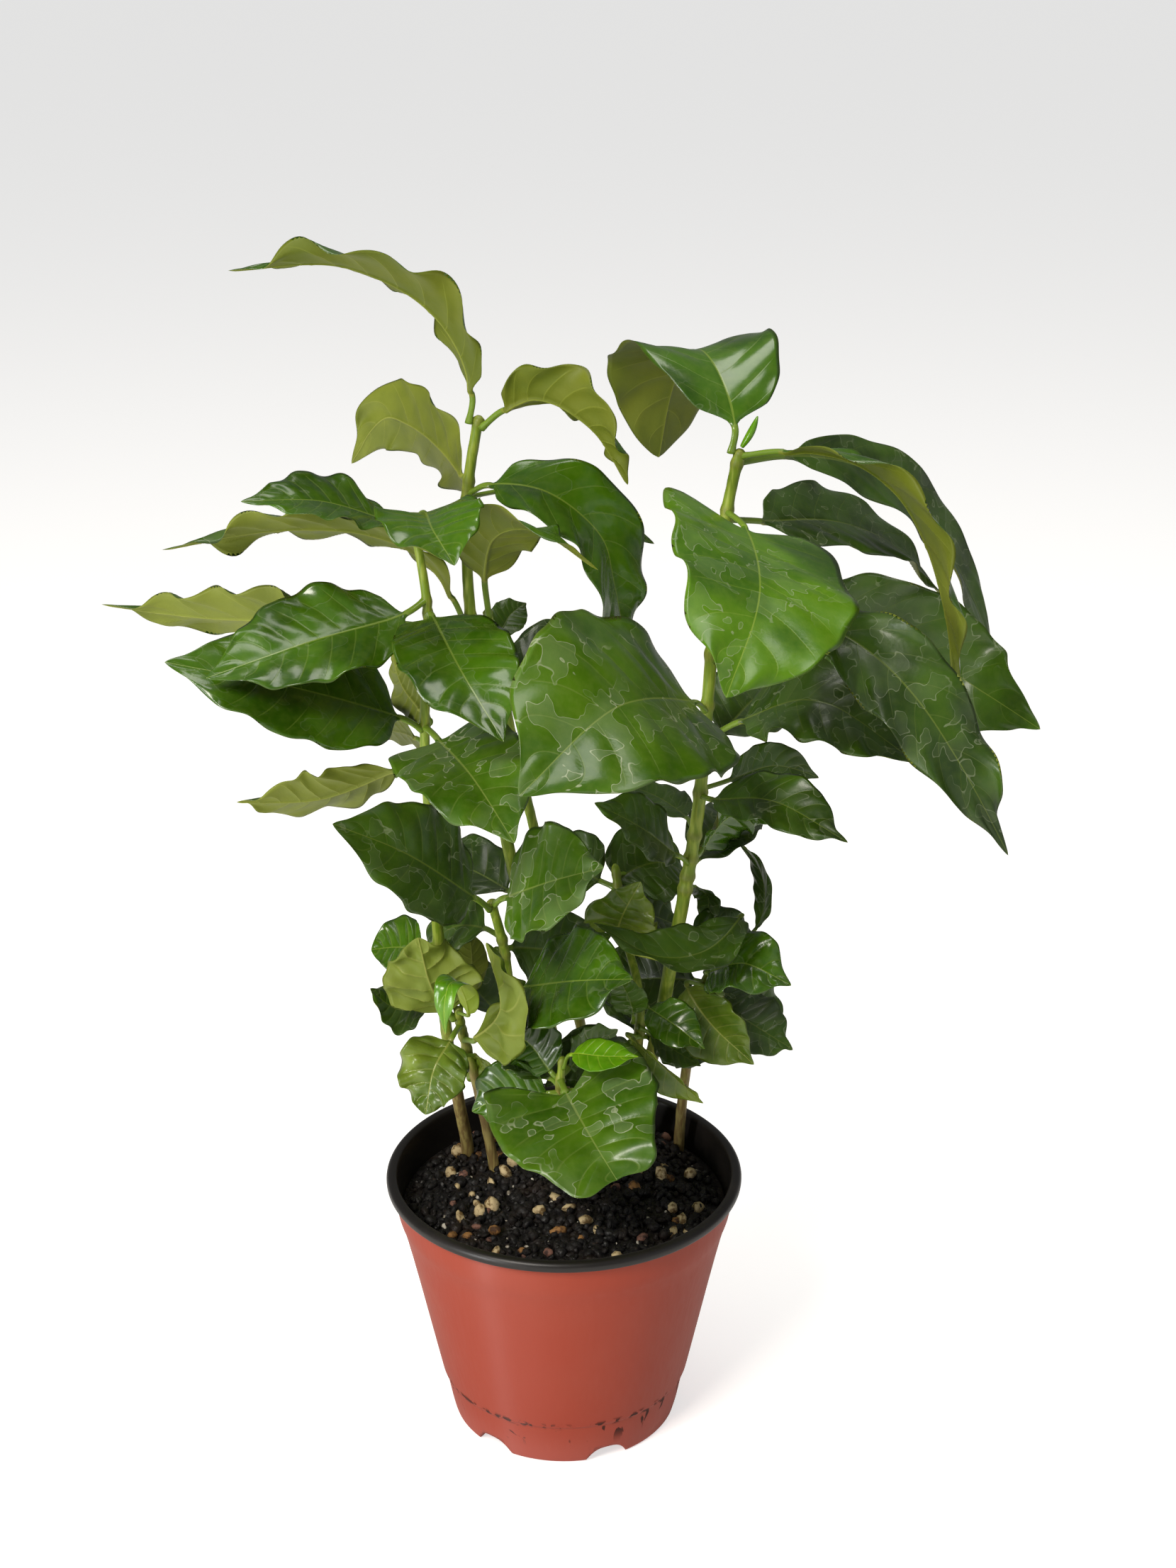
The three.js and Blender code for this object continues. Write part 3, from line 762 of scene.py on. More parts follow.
@dataclass(frozen=True)
class Cage:
    """A leaf's points at each station, in metres.

    across holds the left margin, left quarter, middle, right quarter and right margin.
    """

    across: np.ndarray
    stalk: np.ndarray
    tip: np.ndarray

    @classmethod
    def from_node(cls, name: str) -> "Cage":
        """Read the cage from a leaf's CAD node.

        Args:
            name: The leaf's CAD node.

        Returns:
            The cage.
        """
        rings = Skin(name, 8, is_blade=True).rings()
        across = np.stack([(rings[:, a] + rings[:, -a % 8]) / 2 for a in range(5)], axis=1)
        # the node's midrib stands out below, so the middle is taken from the top face
        half_thick = np.linalg.norm(rings[:, 1] - rings[:, 7], axis=1, keepdims=True) / 2
        up = unit(rings[:, 2] - rings[:, 6] + 1e-12)
        across[:, 2] = rings[:, 2] - up * half_thick
        return cls(across[1:-1], across[0, 2], rings[-1, 0])

    @classmethod
    def from_path(cls, path: np.ndarray, side: tuple, half: float, fold: float = 8.0) -> "Cage":
        """Lay out a cage along given points.

        The side vector is turned square to the path at each station, and both margins are
        lifted by the fold angle.

        Args:
            path: Stalk start, blade base and on to the tip, in metres.
            side: Direction of the right margin.
            half: Greatest half width in metres.
            fold: How far the halves are lifted, in degrees.

        Returns:
            The cage.
        """
        u = np.append(STATIONS, 1.0)
        run = run_along(path)
        at = run[1] + (run[-1] - run[1]) * u
        line = curve_through(run, path, at)
        along = unit(np.gradient(line, at, axis=0))
        right = square_to(np.array(side, float)[None], along)
        up = np.cross(right, along) * math.tan(math.radians(fold))
        width = half * plain_width(u)[:, None]
        across = [line + right * width * v + up * width * abs(v) for v in TRACKS]
        return cls(np.stack(across, axis=1)[:-1], path[0], line[-1])


@dataclass
class Leaf:
    """One coffee leaf: a short grooved stalk that runs on as the midrib of a wavy blade."""

    name: str
    cage: Cage
    shape: LeafShape
    blade_rows: int = 92
    stalk_rows: int = 10
    across_count: int = 37
    crowding: float = 1.35
    blade_mm: float = 0.34
    stalk_mm: float = 1.05
    reach_mm: float = 1.6
    scallop: float = 0.012
    vein_bend: float = 0.16
    vein_stagger: float = 0.25
    veined_share: float = 0.95
    least_crinkle_mm: float = 0.15
    rib_base_mm: float = 0.95
    rib_tip_mm: float = 0.25
    groove_mm: float = 0.28
    side_keel_mm: float = 0.16
    full_half_mm: float = 16.0
    full_rib_half_mm: float = 13.0
    edge_thinning: float = 0.85
    slim_half_mm: float = 1.2
    stalk_flat: float = 0.7
    stalk_blend: float = 0.07
    foot_swell: float = 0.35
    foot_mm: float = 1.6

    def __post_init__(self) -> None:
        """Place the rows and columns, closer together towards the midrib."""
        self.u = np.linspace(0.0, 1.0, self.blade_rows)
        self.t = np.linspace(-1.0, 1.0, self.across_count)
        self.v = np.sign(self.t) * np.abs(self.t) ** self.crowding
        self.middle = self.across_count // 2
        self.seed = sum(ord(c) for c in self.name)

    def outline(self) -> np.ndarray:
        """Half width along the blade, as a share: a full middle drawn out to a drip tip.

        Returns:
            One share a row.
        """
        u, shape = self.u, self.shape
        drawn = 1.0 - shape.tip * smooth_step(u, 0.76, 0.95)
        blunt = smooth_step(u, 0.7, 0.92) * (1.0 - smooth_step(u, 0.93, 1.0))
        drawn *= 1.0 + shape.flare * smooth_step(u, 0.35, 0.7)
        drawn *= 1.0 + self.scallop * np.sin(TAU * shape.pairs * u + len(self.name))
        return plain_width(u) * drawn + 0.03 * shape.notch_mm * blunt

    def middle_sheet(self) -> np.ndarray:
        """The blade's middle surface before it is quilted.

        Each side track is kept as its offset from the midrib over the plain blade's width,
        which changes slowly, is followed smoothly through the stations, and is spread out
        again over the leaf's own outline.

        Returns:
            Points, shape (rows, columns, 3).
        """
        cage = self.cage
        places = np.append(STATIONS, 1.0)
        rib = curve_through(places, np.vstack([cage.across[:, 2], cage.tip]), self.u)
        offsets = cage.across - cage.across[:, 2:3]
        spans = offsets[1:] / plain_width(STATIONS[1:])[:, None, None]
        spans = np.concatenate([spans[:1], spans, spans[-1:]])
        followed = curve_through(places, spans, self.u) * self.outline()[:, None, None]
        spread = curve_through(TRACKS, np.moveaxis(followed, 1, 0), self.v)
        return rib[:, None] + np.moveaxis(spread, 0, 1)

    def lobed(self, sheet: np.ndarray) -> np.ndarray:
        """Push the halves past the blade's ends, which leaves a notch at tip and base.

        The push grows with v^2, is greatest near u = 0.93 for the tip and near u = 0.08 for
        the base, and is nothing at the ends themselves, so that the rows never cross.

        Args:
            sheet: The middle surface.

        Returns:
            The pushed surface.
        """
        u, rib = self.u, sheet[:, self.middle]
        forward, back = unit(rib[-1] - rib[-12]), unit(rib[0] - rib[12])
        tip = smooth_step(u, 0.6, 0.92) * (1.0 - smooth_step(u, 0.94, 1.0))
        base = smooth_step(u, 0.0, 0.06) * (1.0 - smooth_step(u, 0.1, 0.45))
        push = tip[:, None] * self.shape.notch_mm * forward
        push = push + base[:, None] * self.shape.lobe_mm * back
        return sheet + push[:, None] * (self.v**2)[None, :, None] * MM

    def veins(self) -> np.ndarray:
        """Count side veins: a whole number on each vein, which leaves the rib and curves up.

        A vein that leaves the midrib at u passes u + 0.16 |v|^1.3 further out, and the right
        side's veins leave a little above the left's.

        Returns:
            The count, shape (rows, columns).
        """
        bend = self.vein_bend * np.abs(self.v)[None] ** 1.3
        stagger = self.vein_stagger * np.sign(self.v)[None]
        return self.shape.pairs * (self.u[:, None] - bend) / self.veined_share + stagger

    def lift_mm(
        self, sheet: np.ndarray, phase: np.ndarray, reach: np.ndarray, size: float
    ) -> np.ndarray:
        """How far the blade stands off its middle surface.

        It swells between the side veins, waves towards the margins, and is lumpy.

        Args:
            sheet: The middle surface.
            phase: Side vein count.
            reach: Share of the way to the margin.
            size: The leaf's size as a share of a large leaf's.

        Returns:
            Lift in millimetres, shape (rows, columns).
        """
        shape, seed = self.shape, self.seed
        swell = np.abs(np.sin(math.pi * phase)) ** 0.7 - 0.5
        swell *= smooth_step(reach, 0.02, 0.3) * (1.0 - smooth_step(reach, 0.6, 1.0))
        wavy = np.sin(TAU * (phase * 0.5) + seed) + 0.6 * np.sin(TAU * phase * 0.23 + 2.0 * seed)
        wavy += 0.12 * np.sin(TAU * phase * 0.93 + 3.0 * seed)
        lump = lattice_noise(sheet / MM, 7.0, seed) + 0.5 * lattice_noise(sheet / MM, 3.4, seed + 1)
        lump *= (shape.crinkle_mm + self.least_crinkle_mm) * smooth_step(reach, 0.0, 0.25)
        return shape.quilt_mm * size * swell + shape.wave_mm * size * wavy * reach**3 + lump

    def build(self) -> bpy.types.Object:
        """Skin the leaf as one closed surface, upper face, margin and underside.

        Returns:
            The leaf, in metres, with the attributes that its finish reads.
        """
        u = self.u[:, None]
        sheet = self.lobed(self.middle_sheet())
        over = np.gradient(sheet, axis=1)
        over[0], over[-1] = over[1], over[-2]
        normal = unit(np.cross(over, np.gradient(sheet, axis=0)))
        span = np.linalg.norm(sheet - sheet[:, self.middle][:, None], axis=2)
        across_mm = span / MM * np.sign(self.v)[None]
        half_mm = np.abs(across_mm).max(axis=1)
        length_mm = run_along(sheet[:, self.middle])[-1] / MM
        phase = self.veins()
        reach = np.abs(self.v)[None] + 0 * phase
        body = smooth_step(u, 0.02, 0.2) * (1.0 - smooth_step(u, 0.84, 0.97))
        size = min(1.0, half_mm.max() / self.full_half_mm)
        lift = self.lift_mm(sheet, phase, reach, size) * body
        sheet = sheet + normal * (lift * MM)[..., None]
        rib_mm = self.rib_base_mm + (self.rib_tip_mm - self.rib_base_mm) * u
        rib_mm = rib_mm * min(1.0, half_mm.max() / self.full_rib_half_mm) + 0 * phase
        stand = np.exp(-((across_mm / np.maximum(rib_mm * 0.75, 0.15)) ** 2))
        thick = self.blade_mm / 2 * (1.0 - self.edge_thinning * reach**6)
        slim = np.minimum(1.0, half_mm / self.slim_half_mm)[:, None]
        groove = self.groove_mm * stand * (1.0 - u) * smooth_step(u, 0.0, 0.15)
        keel = rib_mm * 0.95 * stand
        ridge = self.side_keel_mm * np.maximum(0.0, 1.0 - np.abs(np.sin(math.pi * phase)) * 5.0)
        keel = keel + ridge * (1.0 - smooth_step(reach, 0.5, 0.95)) * body
        top = sheet + normal * ((thick - groove) * slim * MM)[..., None]
        below = sheet - normal * ((thick + keel) * slim * MM)[..., None]
        layers = {
            "vein_phase": phase,
            "across_mm": across_mm,
            "margin": reach,
            "vein_gap_mm": np.full_like(phase, length_mm * self.veined_share / self.shape.pairs),
            "rib_mm": np.maximum(rib_mm * 0.5, 0.12),
        }
        layers = {key: self.wrapped(value, value) for key, value in layers.items()}
        rings, layers = self.add_stalk(self.wrapped(top, below), layers, normal[:, self.middle])
        made = capped_loft(self.name, rings, layers)
        row = np.arange(rings.shape[1]) >= self.across_count - 1
        faces = [leaf_material(self.shape.kind, face) for face in ("upper", "under")]
        give_materials(made, *faces, second=np.tile(row, len(rings) - 1))
        return made

    def wrapped(self, top: np.ndarray, below: np.ndarray) -> np.ndarray:
        """Join rows over the top with rows back below into rings."""
        return np.concatenate([top, below[:, -2:0:-1]], axis=1)

    def add_stalk(
        self, rings: np.ndarray, layers: Layers, up: np.ndarray
    ) -> tuple[np.ndarray, Layers]:
        """Run a round stalk from inside the stem into the blade's base.

        Its section is a circle of the stalk's radius, flattened above; the blade's first
        rings are blended from that circle over the first 0.07 of the blade.

        Args:
            rings: The blade's rings.
            layers: The blade's attributes.
            up: The midrib's normals, shape (rows, 3).

        Returns:
            Rings and attributes with the stalk in front.
        """
        u, count = self.u, self.stalk_rows
        line = (rings[:, self.middle] + rings[:, rings.shape[1] - self.middle]) / 2
        quarter = math.pi / 2 * (1.0 - self.t)
        turn = np.concatenate([quarter, -quarter[-2:0:-1]])
        inward = unit(self.cage.stalk - line[0])
        start = self.cage.stalk + inward * self.reach_mm * MM
        gap = np.linalg.norm(line[0] - start)
        s = np.linspace(0.0, 1.0, count + 1)[:-1]
        bend = bridge(s[:, None], start, -inward * gap, line[0], unit(line[4] - line[0]) * gap)
        whole = np.concatenate([bend, line])
        along = unit(np.gradient(whole, axis=0))
        up = square_to(np.concatenate([np.repeat(up[:1], count, axis=0), up]), along)
        foot = 1.0 + self.foot_swell * np.exp(-((s * gap / (self.foot_mm * MM)) ** 2))
        radius = np.concatenate([foot, 1.0 - 0.5 * smooth_step(u, 0.0, 0.3)])
        radius = radius[:, None] * self.stalk_mm * MM * min(1.0, 0.45 + self.half_width_mm() / 26.0)
        high = radius * np.sin(turn) * np.where(turn > 0, self.stalk_flat, 1.0)
        circle = tube(whole, np.cross(along, up), up, radius * np.cos(turn), high)
        share = smooth_step(u, 0.0, self.stalk_blend)[:, None, None]
        blade = circle[count:] * (1 - share) + rings * share
        layers = {
            key: np.concatenate([np.repeat(value[:1], count, axis=0), value])
            for key, value in layers.items()
        }
        layers["across_mm"][:count] = 0.0
        layers["margin"][:count] = -1.0
        return np.concatenate([circle[:count], blade]), layers

    def half_width_mm(self) -> float:
        """The blade's greatest half width in millimetres."""
        half = np.linalg.norm(self.cage.across[:, 4] - self.cage.across[:, 0], axis=1) / 2
        return float(half.max() / MM)


@cache
def leaf_material(kind: LeafKind, face: str) -> bpy.types.Material:
    """Get the material of one face of one kind of leaf, made on first use.

    Args:
        kind: The kind of leaf.
        face: "upper" or "under".

    Returns:
        The material.
    """
    finish = LEAF_FINISHES[kind]
    build = finish.upper_face if face == "upper" else finish.under_face
    return build(f"{kind.value}_leaf_{face}")


# ---------------------------------------------------------------- leaf table

GLOSSY = LeafShape(LeafKind.GLOSSY)
DARK = LeafShape(LeafKind.DARK, quilt_mm=0.45)
SPOTTED = LeafShape(LeafKind.SPOTTED, quilt_mm=0.4)
YOUNG = LeafShape(LeafKind.YOUNG, pairs=6, quilt_mm=0.35, wave_mm=0.4)
CRINKLED = LeafShape(
    LeafKind.CRINKLED, pairs=6, quilt_mm=1.5, wave_mm=1.8, crinkle_mm=1.4, tip=0.15
)

# Leaves deep in the bush or behind others, whose darker finish is partly painted shade.
SHADED_DARK_LEAVES = (
    "node_back", "low_olive", "fork_left", "back_right", "low_dark", "curved_dark", "saddle",
    "stem_left", "stem_back", "lower_right", "behind_bright", "crown_far",
)
# The leaves that differ from the glossy ones.
LEAF_SHAPES = dict.fromkeys(SHADED_DARK_LEAVES, DARK) | {
    "crown_left": LeafShape(LeafKind.GLOSSY, pairs=9, quilt_mm=0.5, wave_mm=2.0),
    "crown_back": LeafShape(LeafKind.DARK, wave_mm=1.6),
    "crown_right": LeafShape(LeafKind.GLOSSY, pairs=9, wave_mm=1.6),
    "under_left": LeafShape(LeafKind.DARK, pairs=9, wave_mm=2.2),
    "mid_back": LeafShape(LeafKind.DARK, pairs=9, wave_mm=2.2),
    "low_front": SPOTTED,
    "fork_right": SPOTTED,
    "fork_low": LeafShape(LeafKind.GLOSSY, pairs=7, quilt_mm=0.9),
    "left_round": LeafShape(LeafKind.GLOSSY, pairs=6, tip=0.1),
    "crinkled_up": CRINKLED,
    "crinkled_low": CRINKLED,
    "folded_light": CRINKLED,
    "young_tip": LeafShape(LeafKind.YOUNG, pairs=5, quilt_mm=0.5),
    "heart_front": LeafShape(
        LeafKind.SPOTTED, pairs=6, quilt_mm=0.7, tip=0.0, notch_mm=4.0, lobe_mm=10.0
    ),
    "heart_back": LeafShape(LeafKind.DARK, pairs=6, tip=0.1),
    "bright_young": YOUNG,
    "small_glossy": LeafShape(LeafKind.GLOSSY, pairs=6, quilt_mm=0.3),
    "back_olive": LeafShape(LeafKind.CRINKLED, pairs=6, quilt_mm=0.9, crinkle_mm=0.7),
    "folded_olive": LeafShape(LeafKind.CRINKLED, quilt_mm=0.4),
    "narrow_folded": LeafShape(LeafKind.CRINKLED, pairs=7, quilt_mm=0.3),
    "right_glossy": LeafShape(LeafKind.GLOSSY, pairs=6, quilt_mm=0.9),
    "big_front": LeafShape(LeafKind.SPOTTED, pairs=8, quilt_mm=0.8, wave_mm=1.6, lobe_mm=6.0),
    "big_right": LeafShape(LeafKind.DARK, wave_mm=1.8),
    "long_droop": LeafShape(LeafKind.DARK, pairs=9, quilt_mm=0.5, wave_mm=2.2),
    "far_right": LeafShape(LeafKind.DARK, wave_mm=1.8),
    "center_bright": LeafShape(LeafKind.BRIGHT, pairs=7, quilt_mm=0.8, wave_mm=1.3, lobe_mm=7.0),
    "crown_arch": LeafShape(LeafKind.GLOSSY, pairs=9, quilt_mm=0.4, wave_mm=1.8),
    "crown_folded": LeafShape(LeafKind.GLOSSY, pairs=8, quilt_mm=0.5, tip=0.0, flare=0.12),
}


@dataclass(frozen=True)
class InnerLeaf:
    """A leaf with no CAD node, laid along four given points in mm above the soil."""

    name: str
    half_mm: float
    side: tuple
    path: tuple
    # by default the darker DARK finish, painted shade for the inside of the bush
    shape: LeafShape = DARK

    def cage(self, soil_top: float) -> Cage:
        """Lay out the leaf's cage over a soil level in metres."""
        points = np.array(self.path, float).reshape(-1, 3) * MM
        return Cage.from_path(points + [0.0, 0.0, soil_top], self.side, self.half_mm * MM)


# Leaves inside the bush and behind it, most dressed darker as painted shade: name, half width,
# direction of the right margin, and the points from the stalk's start to the tip.
INNER_LEAVES = (
    ("side_back", 6, (0.8, -0.3, -0.5), (-25, 27, 194, -21, 30, 193, -17, 36, 197, -12, 42, 199)),
    ("inner_back", 13, (-0.4, 0.6, -0.7), (-42, 4, 172, -45, 14, 172, -52, 26, 177, -56, 34, 187)),
    ("low_back", 10, (0.3, 0.5, -0.8), (-42, 2, 161, -47, 15, 162, -58, 34, 158, -70, 50, 152)),
    ("left_dark", 11, (0.1, 0.9, 0.4), (-41, 6, 73, -45, 8, 70, -54, 8, 68, -64, 6, 77)),
    ("folded_low", 8, (-0.7, 0.7, -0.2),
     (-33, 4, 53, -30, 6, 52, -26, 8, 43, -21, 10, 33), CRINKLED),
    ("back_pale", 6, (-0.9, -0.3, 0.0), (-34, 6, 62, -34, 14, 69, -31, 18, 79, -32, 18, 93)),
    ("heart_right", 13, (0.2, -0.5, -0.8), (1, -20, 52, 4, -15, 50, 16, -2, 45, 29, 8, 37)),
    ("small_dark", 7, (-0.4, -0.9, -0.3), (26, 8, 61, 29, 10, 58, 37, 8, 53, 46, 6, 48)),
    ("back_left", 12, (0.2, 0.6, 0.8), (16, 22, 107, 12, 24, 108, 3, 28, 112, -8, 30, 108)),
    ("stem_dark", 5, (-0.7, 0.6, -0.3), (39, 3, 116, 43, 10, 112, 48, 16, 105, 45, 18, 92)),
    ("mass_mid", 15, (0.5, -0.5, -0.7), (17, 20, 106, 18, 22, 108, 31, 30, 112, 42, 38, 104)),
    ("mass_under", 14, (0.2, -0.8, -0.6), (17, 20, 101, 19, 24, 99, 29, 32, 92, 41, 38, 84)),
    ("shade_left", 14, (0.0, -0.5, -0.9), (-21, 4, 92, -17, 10, 90, -4, 20, 85, 16, 26, 87)),
    ("shade_mid", 15, (-0.1, 0.5, 0.8), (48, 18, 73, 44, 24, 71, 30, 32, 68, 8, 38, 62)),
    ("narrow_mid", 6, (1.0, 0.0, 0.2), (23, 2, 67, 23, -3, 72, 21, -9, 82, 17, -13, 92)),
    ("shade_low", 10, (-0.2, -0.7, -0.7), (24, 8, 58, 28, 14, 55, 37, 22, 50, 51, 28, 38)),
    ("mass_right", 10, (0.1, -0.7, -0.6), (37, 4, 98, 42, 8, 96, 56, 14, 92, 66, 16, 80)),
    ("dark_far", 13, (0.1, -0.7, -0.6), (49, 20, 68, 54, 24, 66, 66, 30, 60, 76, 34, 46)),
    ("mid_fill", 10, (-0.3, 0.5, 0.8), (24, 8, 58, 20, 2, 58, 6, -8, 58, -6, -12, 50)),
    ("fork_shade", 11, (0.1, 0.7, 0.6), (-21, 2, 98, -26, 8, 98, -38, 16, 94, -46, 16, 82)),
    ("rear_high", 15, (0.5, -0.6, -0.5), (-19, 28, 170, -15, 33, 171, 2, 52, 178, 24, 66, 170)),
    ("rear_left", 14, (0.5, 0.8, 0.3), (-15, 28, 100, -19, 32, 101, -40, 48, 104, -62, 58, 94)),
    ("rear_right", 15, (0.8, -0.4, -0.4), (46, 2, 165, 50, 8, 166, 66, 36, 170, 80, 58, 158)),
    ("rear_mid", 13, (0.9, 0.4, -0.1), (25, 17, 50, 25, 24, 52, 16, 48, 58, 2, 62, 50)),
    ("rear_low", 12, (0.75, 0.6, 0.0), (-18, 9, 60, -22, 16, 62, -38, 38, 66, -50, 52, 58)),
    ("rear_side", 12, (0.9, -0.25, -0.2), (40, 3, 120, 44, 10, 122, 56, 36, 126, 58, 54, 118)),
    ("heart_left", 11, (0.5, 0.1, 0.8),
     (-1, -18, 56, -4, -18, 59, -11, -14, 67, -20, -12, 72), GLOSSY),
    ("heart_low", 12, (-0.2, 0.4, 0.8),
     (-1, -19, 52, -5, -20, 52, -18, -18, 50, -30, -14, 42), GLOSSY),
    ("heart_up", 10, (0.3, 0.2, -0.9), (-1, -16, 56, 2, -12, 57, 10, -6, 62, 18, -2, 66), SPOTTED),
    ("heart_side", 12, (-0.1, -0.8, -0.6),
     (1, -22, 54, 5, -24, 55, 17, -22, 53, 31, -20, 48), SPOTTED),
    ("lower_back", 8, (0.2, -0.3, -0.9), (45, 4, 149, 54, 14, 148, 70, 24, 149, 84, 26, 144)),
)


# ---------------------------------------------------------------- stems


@dataclass(frozen=True)
class StemBark:
    """Young coffee stem: green and waxy above, corky tan where it has turned woody below."""

    green: str = "#76901c"
    light: str = "#9aab3a"
    tan: str = "#a8985a"
    cork: str = "#826c40"
    joint: str = "#6d6a2c"

    def material(self) -> bpy.types.Material:
        """Dress the stem by height above the soil, with long fine streaks.

        Returns:
            The material.
        """
        recipe = Recipe("young_stem_bark")
        streak = recipe.noise(900.0, Vector=recipe.drawn_out(0.12), Detail=3.0)
        blotch = recipe.noise(120.0, Detail=2.0)
        lines = recipe.ramp(streak, 0.4, 0.65)
        green = recipe.mix(lines, self.green, self.light)
        tan = recipe.mix(lines, self.cork, self.tan)
        uneven = recipe.reckon("SUBTRACT", blotch, 0.5)
        share = recipe.reckon("ADD", recipe.layer("woody"), uneven)
        colour = recipe.mix(recipe.ramp(share, 0.3, 0.8), green, tan)
        colour = recipe.tint(colour, recipe.layer("joint"), 0.5, self.joint)
        return recipe.dress(colour, 0.48, streak, 0.4, 0.2)


@dataclass
class Stem:
    """One seedling's stem: a tapering round shoot, swollen and scarred where leaves join."""

    name: str
    soil_top: float
    starts: np.ndarray
    rows_per_mm: float = 1.1
    around: int = 20
    swell: float = 0.26
    joint_mm: float = 1.5
    near_mm: float = 4.0
    grain_mm: float = 2.6
    uneven_mm: float = 0.09
    end_mm: float = 1.2
    end_taper: float = 0.6
    woody_mm: float = 10.0
    green_mm: float = 90.0

    def build(self, bark: bpy.types.Material) -> bpy.types.Object:
        """Skin the stem over the middles of its CAD rings.

        The radius is the rings' own, carried smoothly along, plus a swelling that falls off
        as exp(-(s / 1.5 mm)^2) round each joint, plus fine unevenness.

        Args:
            bark: The stem's material.

        Returns:
            The stem, in metres.
        """
        rings = Skin(self.name, 6, is_blade=False).rings()
        middle = rings.mean(axis=1)
        radius = np.linalg.norm(rings[:, 0] - middle, axis=1)
        run = run_along(middle)
        s = np.linspace(0.0, run[-1], int(run[-1] / MM * self.rows_per_mm))
        line = curve_through(run, middle, s)
        apart = np.linalg.norm(line[:, None] - self.starts[None], axis=2)
        here = s[apart.argmin(axis=0)][apart.min(axis=0) < self.near_mm * MM]
        here = np.append(here, -1.0)  # far off, so that a stem with no joint has one value
        joint = np.exp(-(((s[:, None] - here[None]) / (self.joint_mm * MM)) ** 2)).max(axis=1)
        end = 1.0 - self.end_taper * smooth_step(s, run[-1] - self.end_mm * MM, run[-1])
        size = np.interp(s, run, radius) * (1.0 + self.swell * joint) * end
        size, joint = (np.repeat(value[:, None], self.around, axis=1) for value in (size, joint))
        rings = upright_tube(line, size, size)
        uneven = lattice_noise(rings / MM, self.grain_mm, len(self.name)) * self.uneven_mm * MM
        rings = rings + unit(rings - line[:, None]) * uneven[..., None]
        above_mm = (line[:, 2] - self.soil_top) / MM
        woody = 1.0 - smooth_step(above_mm, self.woody_mm, self.green_mm)
        woody = np.repeat(woody[:, None], self.around, axis=1)
        made = capped_loft("bark_" + self.name, rings, {"woody": woody, "joint": joint})
        give_materials(made, bark)
        return made


@dataclass
class Bud:
    """A closed tip: two young leaves pressed face to face into a slim spindle."""

    cad_node: str = "bud_tall_right"
    kind: LeafKind = LeafKind.YOUNG
    rows: int = 40
    around: int = 24
    bow_mm: float = 0.5
    radius_mm: float = 1.25
    tip_mm: float = 0.25
    seam: float = 0.3

    def build(self) -> bpy.types.Object:
        """Skin the spindle along the CAD bud, pinched where the two leaves meet.

        Its section is an ellipse whose radius dips by three tenths at two opposite seams.

        Returns:
            The bud, in metres.
        """
        points, _ = node_points(self.cad_node)
        tip = points[points[:, 2].argmax()]
        foot = points[points[:, 2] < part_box(self.cad_node)[0].z + 1.2 * MM].mean(axis=0)
        t = np.linspace(0.0, 1.0, self.rows)
        bow = np.sin(math.pi * t)[:, None] * np.array([self.bow_mm, 0.0, 0.0]) * MM
        line = foot + (tip - foot) * t[:, None] + bow
        seam = 1.0 - self.seam * np.exp(-((np.abs(np.sin(turns(self.around))) / 0.22) ** 2))
        full = np.sin(math.pi * np.clip(0.12 + 0.88 * t, 0, 1)) ** 0.8
        size = (self.tip_mm + self.radius_mm * full)[:, None] * MM * seam[None]
        rings = upright_tube(line, size * 0.8, size)
        # off every vein and far from the midrib and the margin, so that it is dressed plain
        plain = {"vein_phase": 0.5, "across_mm": 9.0, "margin": 0.0}
        plain |= {"vein_gap_mm": 5.0, "rib_mm": 0.3}
        layers = {key: np.full(rings.shape[:2], value) for key, value in plain.items()}
        made = capped_loft("closed_bud", rings, layers)
        give_materials(made, leaf_material(self.kind, "upper"))
        return made


# ---------------------------------------------------------------- soil


@dataclass(frozen=True)
class PeatMix:
    """Moist peat: nearly black crumbs with brown fibre, matt, with a few wet glints."""

    dark: str = "#0a0707"
    brown: str = "#21160f"
    fibre: str = "#4a3628"

    def material(self) -> bpy.types.Material:
        """Dress the crumbs.

        Returns:
            The material.
        """
        recipe = Recipe("moist_peat")
        crumb = recipe.noise(700.0, Detail=5.0)
        share = recipe.ramp(recipe.noise(90.0, Detail=3.0), 0.45, 0.75)
        colour = recipe.mix(share, self.dark, self.brown)
        colour = recipe.tint(colour, recipe.ramp(crumb, 0.58, 0.8), 0.5, self.fibre)
        rough = recipe.reckon("MULTIPLY_ADD", recipe.ramp(crumb, 0.3, 0.6), 0.45, 0.3)
        return recipe.dress(colour, rough, crumb, 0.9, 0.7)


@dataclass(frozen=True)
class Grit:
    """Dry mineral or bark granules mixed into peat: chalky, pitted, with earth in the pits."""

    name: str
    light: str
    dark: str
    count: int
    sizes_mm: tuple[float, float]

    def material(self) -> bpy.types.Material:
        """Dress the granules.

        Returns:
            The material.
        """
        recipe = Recipe(self.name)
        pits = recipe.noise(500.0, Detail=4.0)
        colour = recipe.mix(recipe.ramp(pits, 0.38, 0.56), self.dark, self.light)
        return recipe.dress(colour, 0.75, pits, 0.6, 0.4)


def ball(rows: int, around: int) -> tuple[np.ndarray, np.ndarray, np.ndarray]:
    """A unit ball: rows of rings between two poles.

    Args:
        rows: Rings between the poles.
        around: Points in a ring.

    Returns:
        Corners, quads and triangles.
    """
    tilt = (np.arange(rows) + 1) / (rows + 1) * math.pi
    rings = turned(np.sin(tilt), -np.cos(tilt), around)
    points = np.concatenate([rings.reshape(-1, 3), [[0, 0, -1.0]], [[0, 0, 1.0]]])
    return points, ring_faces(rows, around), end_fans(rows, around)


